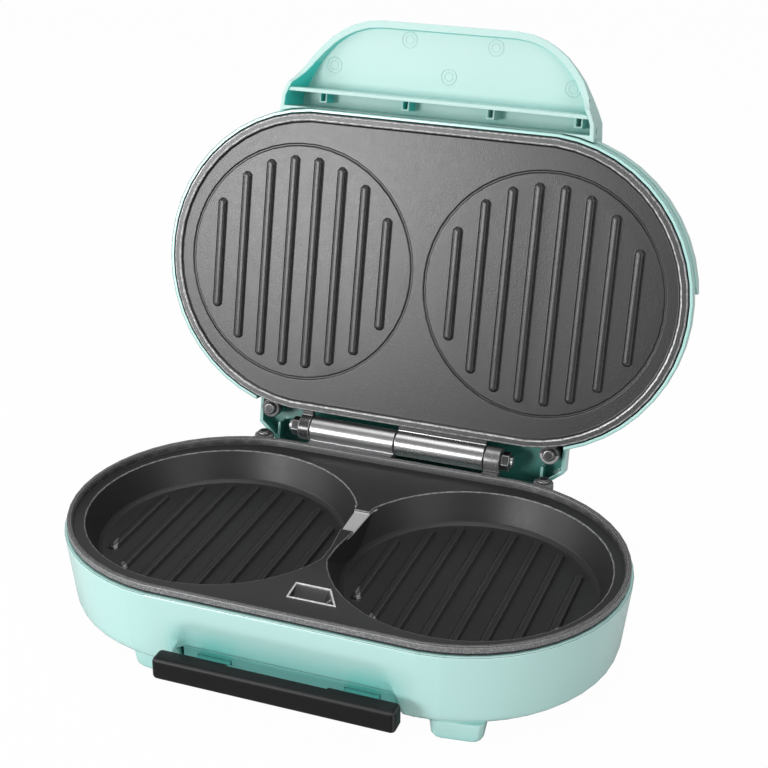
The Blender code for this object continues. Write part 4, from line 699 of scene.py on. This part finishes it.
# Thermal fuse and leads: pale glass-fibre sleeve over the fuse and over each wire between the
# terminal block, the heaters, the thermostat and the lamps.
sleeve = uneven_gloss("lead_sleeve", (0.8, 0.8, 0.76), 0.6, least=0.5, size=0.001, more=0.2)
dress(sleeve, "thermal_fuse", "thermostat_lead", "fuse_lead")
for side in ("left", "right"):
    dress(sleeve, f"heater_lead_{side}", f"lamp_lead_{side}")

# Indicator lenses and lamps: a red and a green moulded lens in the cover, and behind each a small
# glass lamp that reaches through the shell.
for side, word, colour in (("left", "red", (0.55, 0.02, 0.02)),
                           ("right", "green", (0.03, 0.38, 0.08))):
    lens_plastic = uneven_gloss(f"{word}_lens", colour, 0.12, least=0.08, size=0.002, more=0.1)
    refined(f"lens_{side}", f"indicator_lens_{side}", lens_plastic, f"{word}_lens",
            soft=0.0003)
glass = uneven_gloss("lamp_glass", (0.8, 0.75, 0.7), 0.1, least=0.06, size=0.002, more=0.1)
dress(glass, "lamp_left", "lamp_right")

# Floor: a wide card that the camera sees as white, with a faint shadow under the maker, and that
# sends back less light than it shows.


def is_seen(start):
    """1 for rays that show the background as it is: from the camera or let through."""
    sight = start.node("LightPath", {}, {}, "Is Camera Ray")
    through = start.node("LightPath", {}, {}, "Is Transmission Ray")
    return (sight + through).maths("MINIMUM", 1.0)


white = (1.0, 1.0, 1.0, 1.0)
floor_reach = 3.0
glow_share = 0.98
floor_mesh = bpy.data.meshes.new("floor")
floor_shape = bmesh.new()
bmesh.ops.create_grid(floor_shape, x_segments=2, y_segments=2, size=floor_reach)
floor_shape.to_mesh(floor_mesh)
floor_shape.free()
floor = bpy.data.objects.new("floor", floor_mesh)
bpy.context.scene.collection.objects.link(floor)
floor_finish, floor_shader, floor_place = new_finish("floor_card", (0.62, 0.62, 0.62), 0.9,
                                                     mottle=0.0)
glow = floor_place.node("Emission", {}, {"Color": white, "Strength": 1.0})
card = Shade(floor_finish.node_tree, floor_shader.outputs[0])
mixed = floor_place.node("MixShader", {}, {0: is_seen(floor_place) * glow_share, 1: card, 2: glow})
floor_output = floor_finish.node_tree.nodes["Material Output"]
floor_finish.node_tree.links.new(mixed.socket, floor_output.inputs["Surface"])
floor_mesh.materials.append(floor_finish)

# Studio light: a white world that lights the maker faintly, and four square soft lamps, one low
# in front for the upper plate.
world_light = 0.28
world = bpy.data.worlds.new("studio")
world.use_nodes = True
bpy.context.scene.world = world
background = world.node_tree.nodes["Background"]
background.inputs["Color"].default_value = white
world_strength = world_light + is_seen(Shade(world.node_tree)) * (1 - world_light)
world.node_tree.links.new(world_strength.socket, background.inputs["Strength"])


def add_lamp(name, place, aim, size, power):
    """A square soft lamp that faces a point, with its side in metres and its power in watts."""
    lamp_data = bpy.data.lights.new(name, "AREA")
    lamp_data.shape = "SQUARE"
    lamp_data.size = size
    lamp_data.energy = power
    lamp = bpy.data.objects.new(name, lamp_data)
    lamp.location = place
    heading = Vector(aim) - Vector(place)
    lamp.rotation_euler = heading.to_track_quat("-Z", "Y").to_euler()
    bpy.context.scene.collection.objects.link(lamp)


body_middle = (0.0, 0.0, 0.08)
plate_middle = (-0.03, 0.0, 0.16)
add_lamp("key_lamp", (-1.5, -0.8, 0.7), body_middle, size=0.9, power=13.0)
add_lamp("low_lamp", (-0.72, -1.5, 0.40), plate_middle, size=0.42, power=15.0)
add_lamp("fill_lamp", (1.3, -0.9, 0.7), body_middle, size=1.0, power=8.0)
add_lamp("top_lamp", (0.0, 0.2, 1.6), body_middle, size=1.2, power=12.0)

bpy.context.scene.view_settings.view_transform = "Standard"
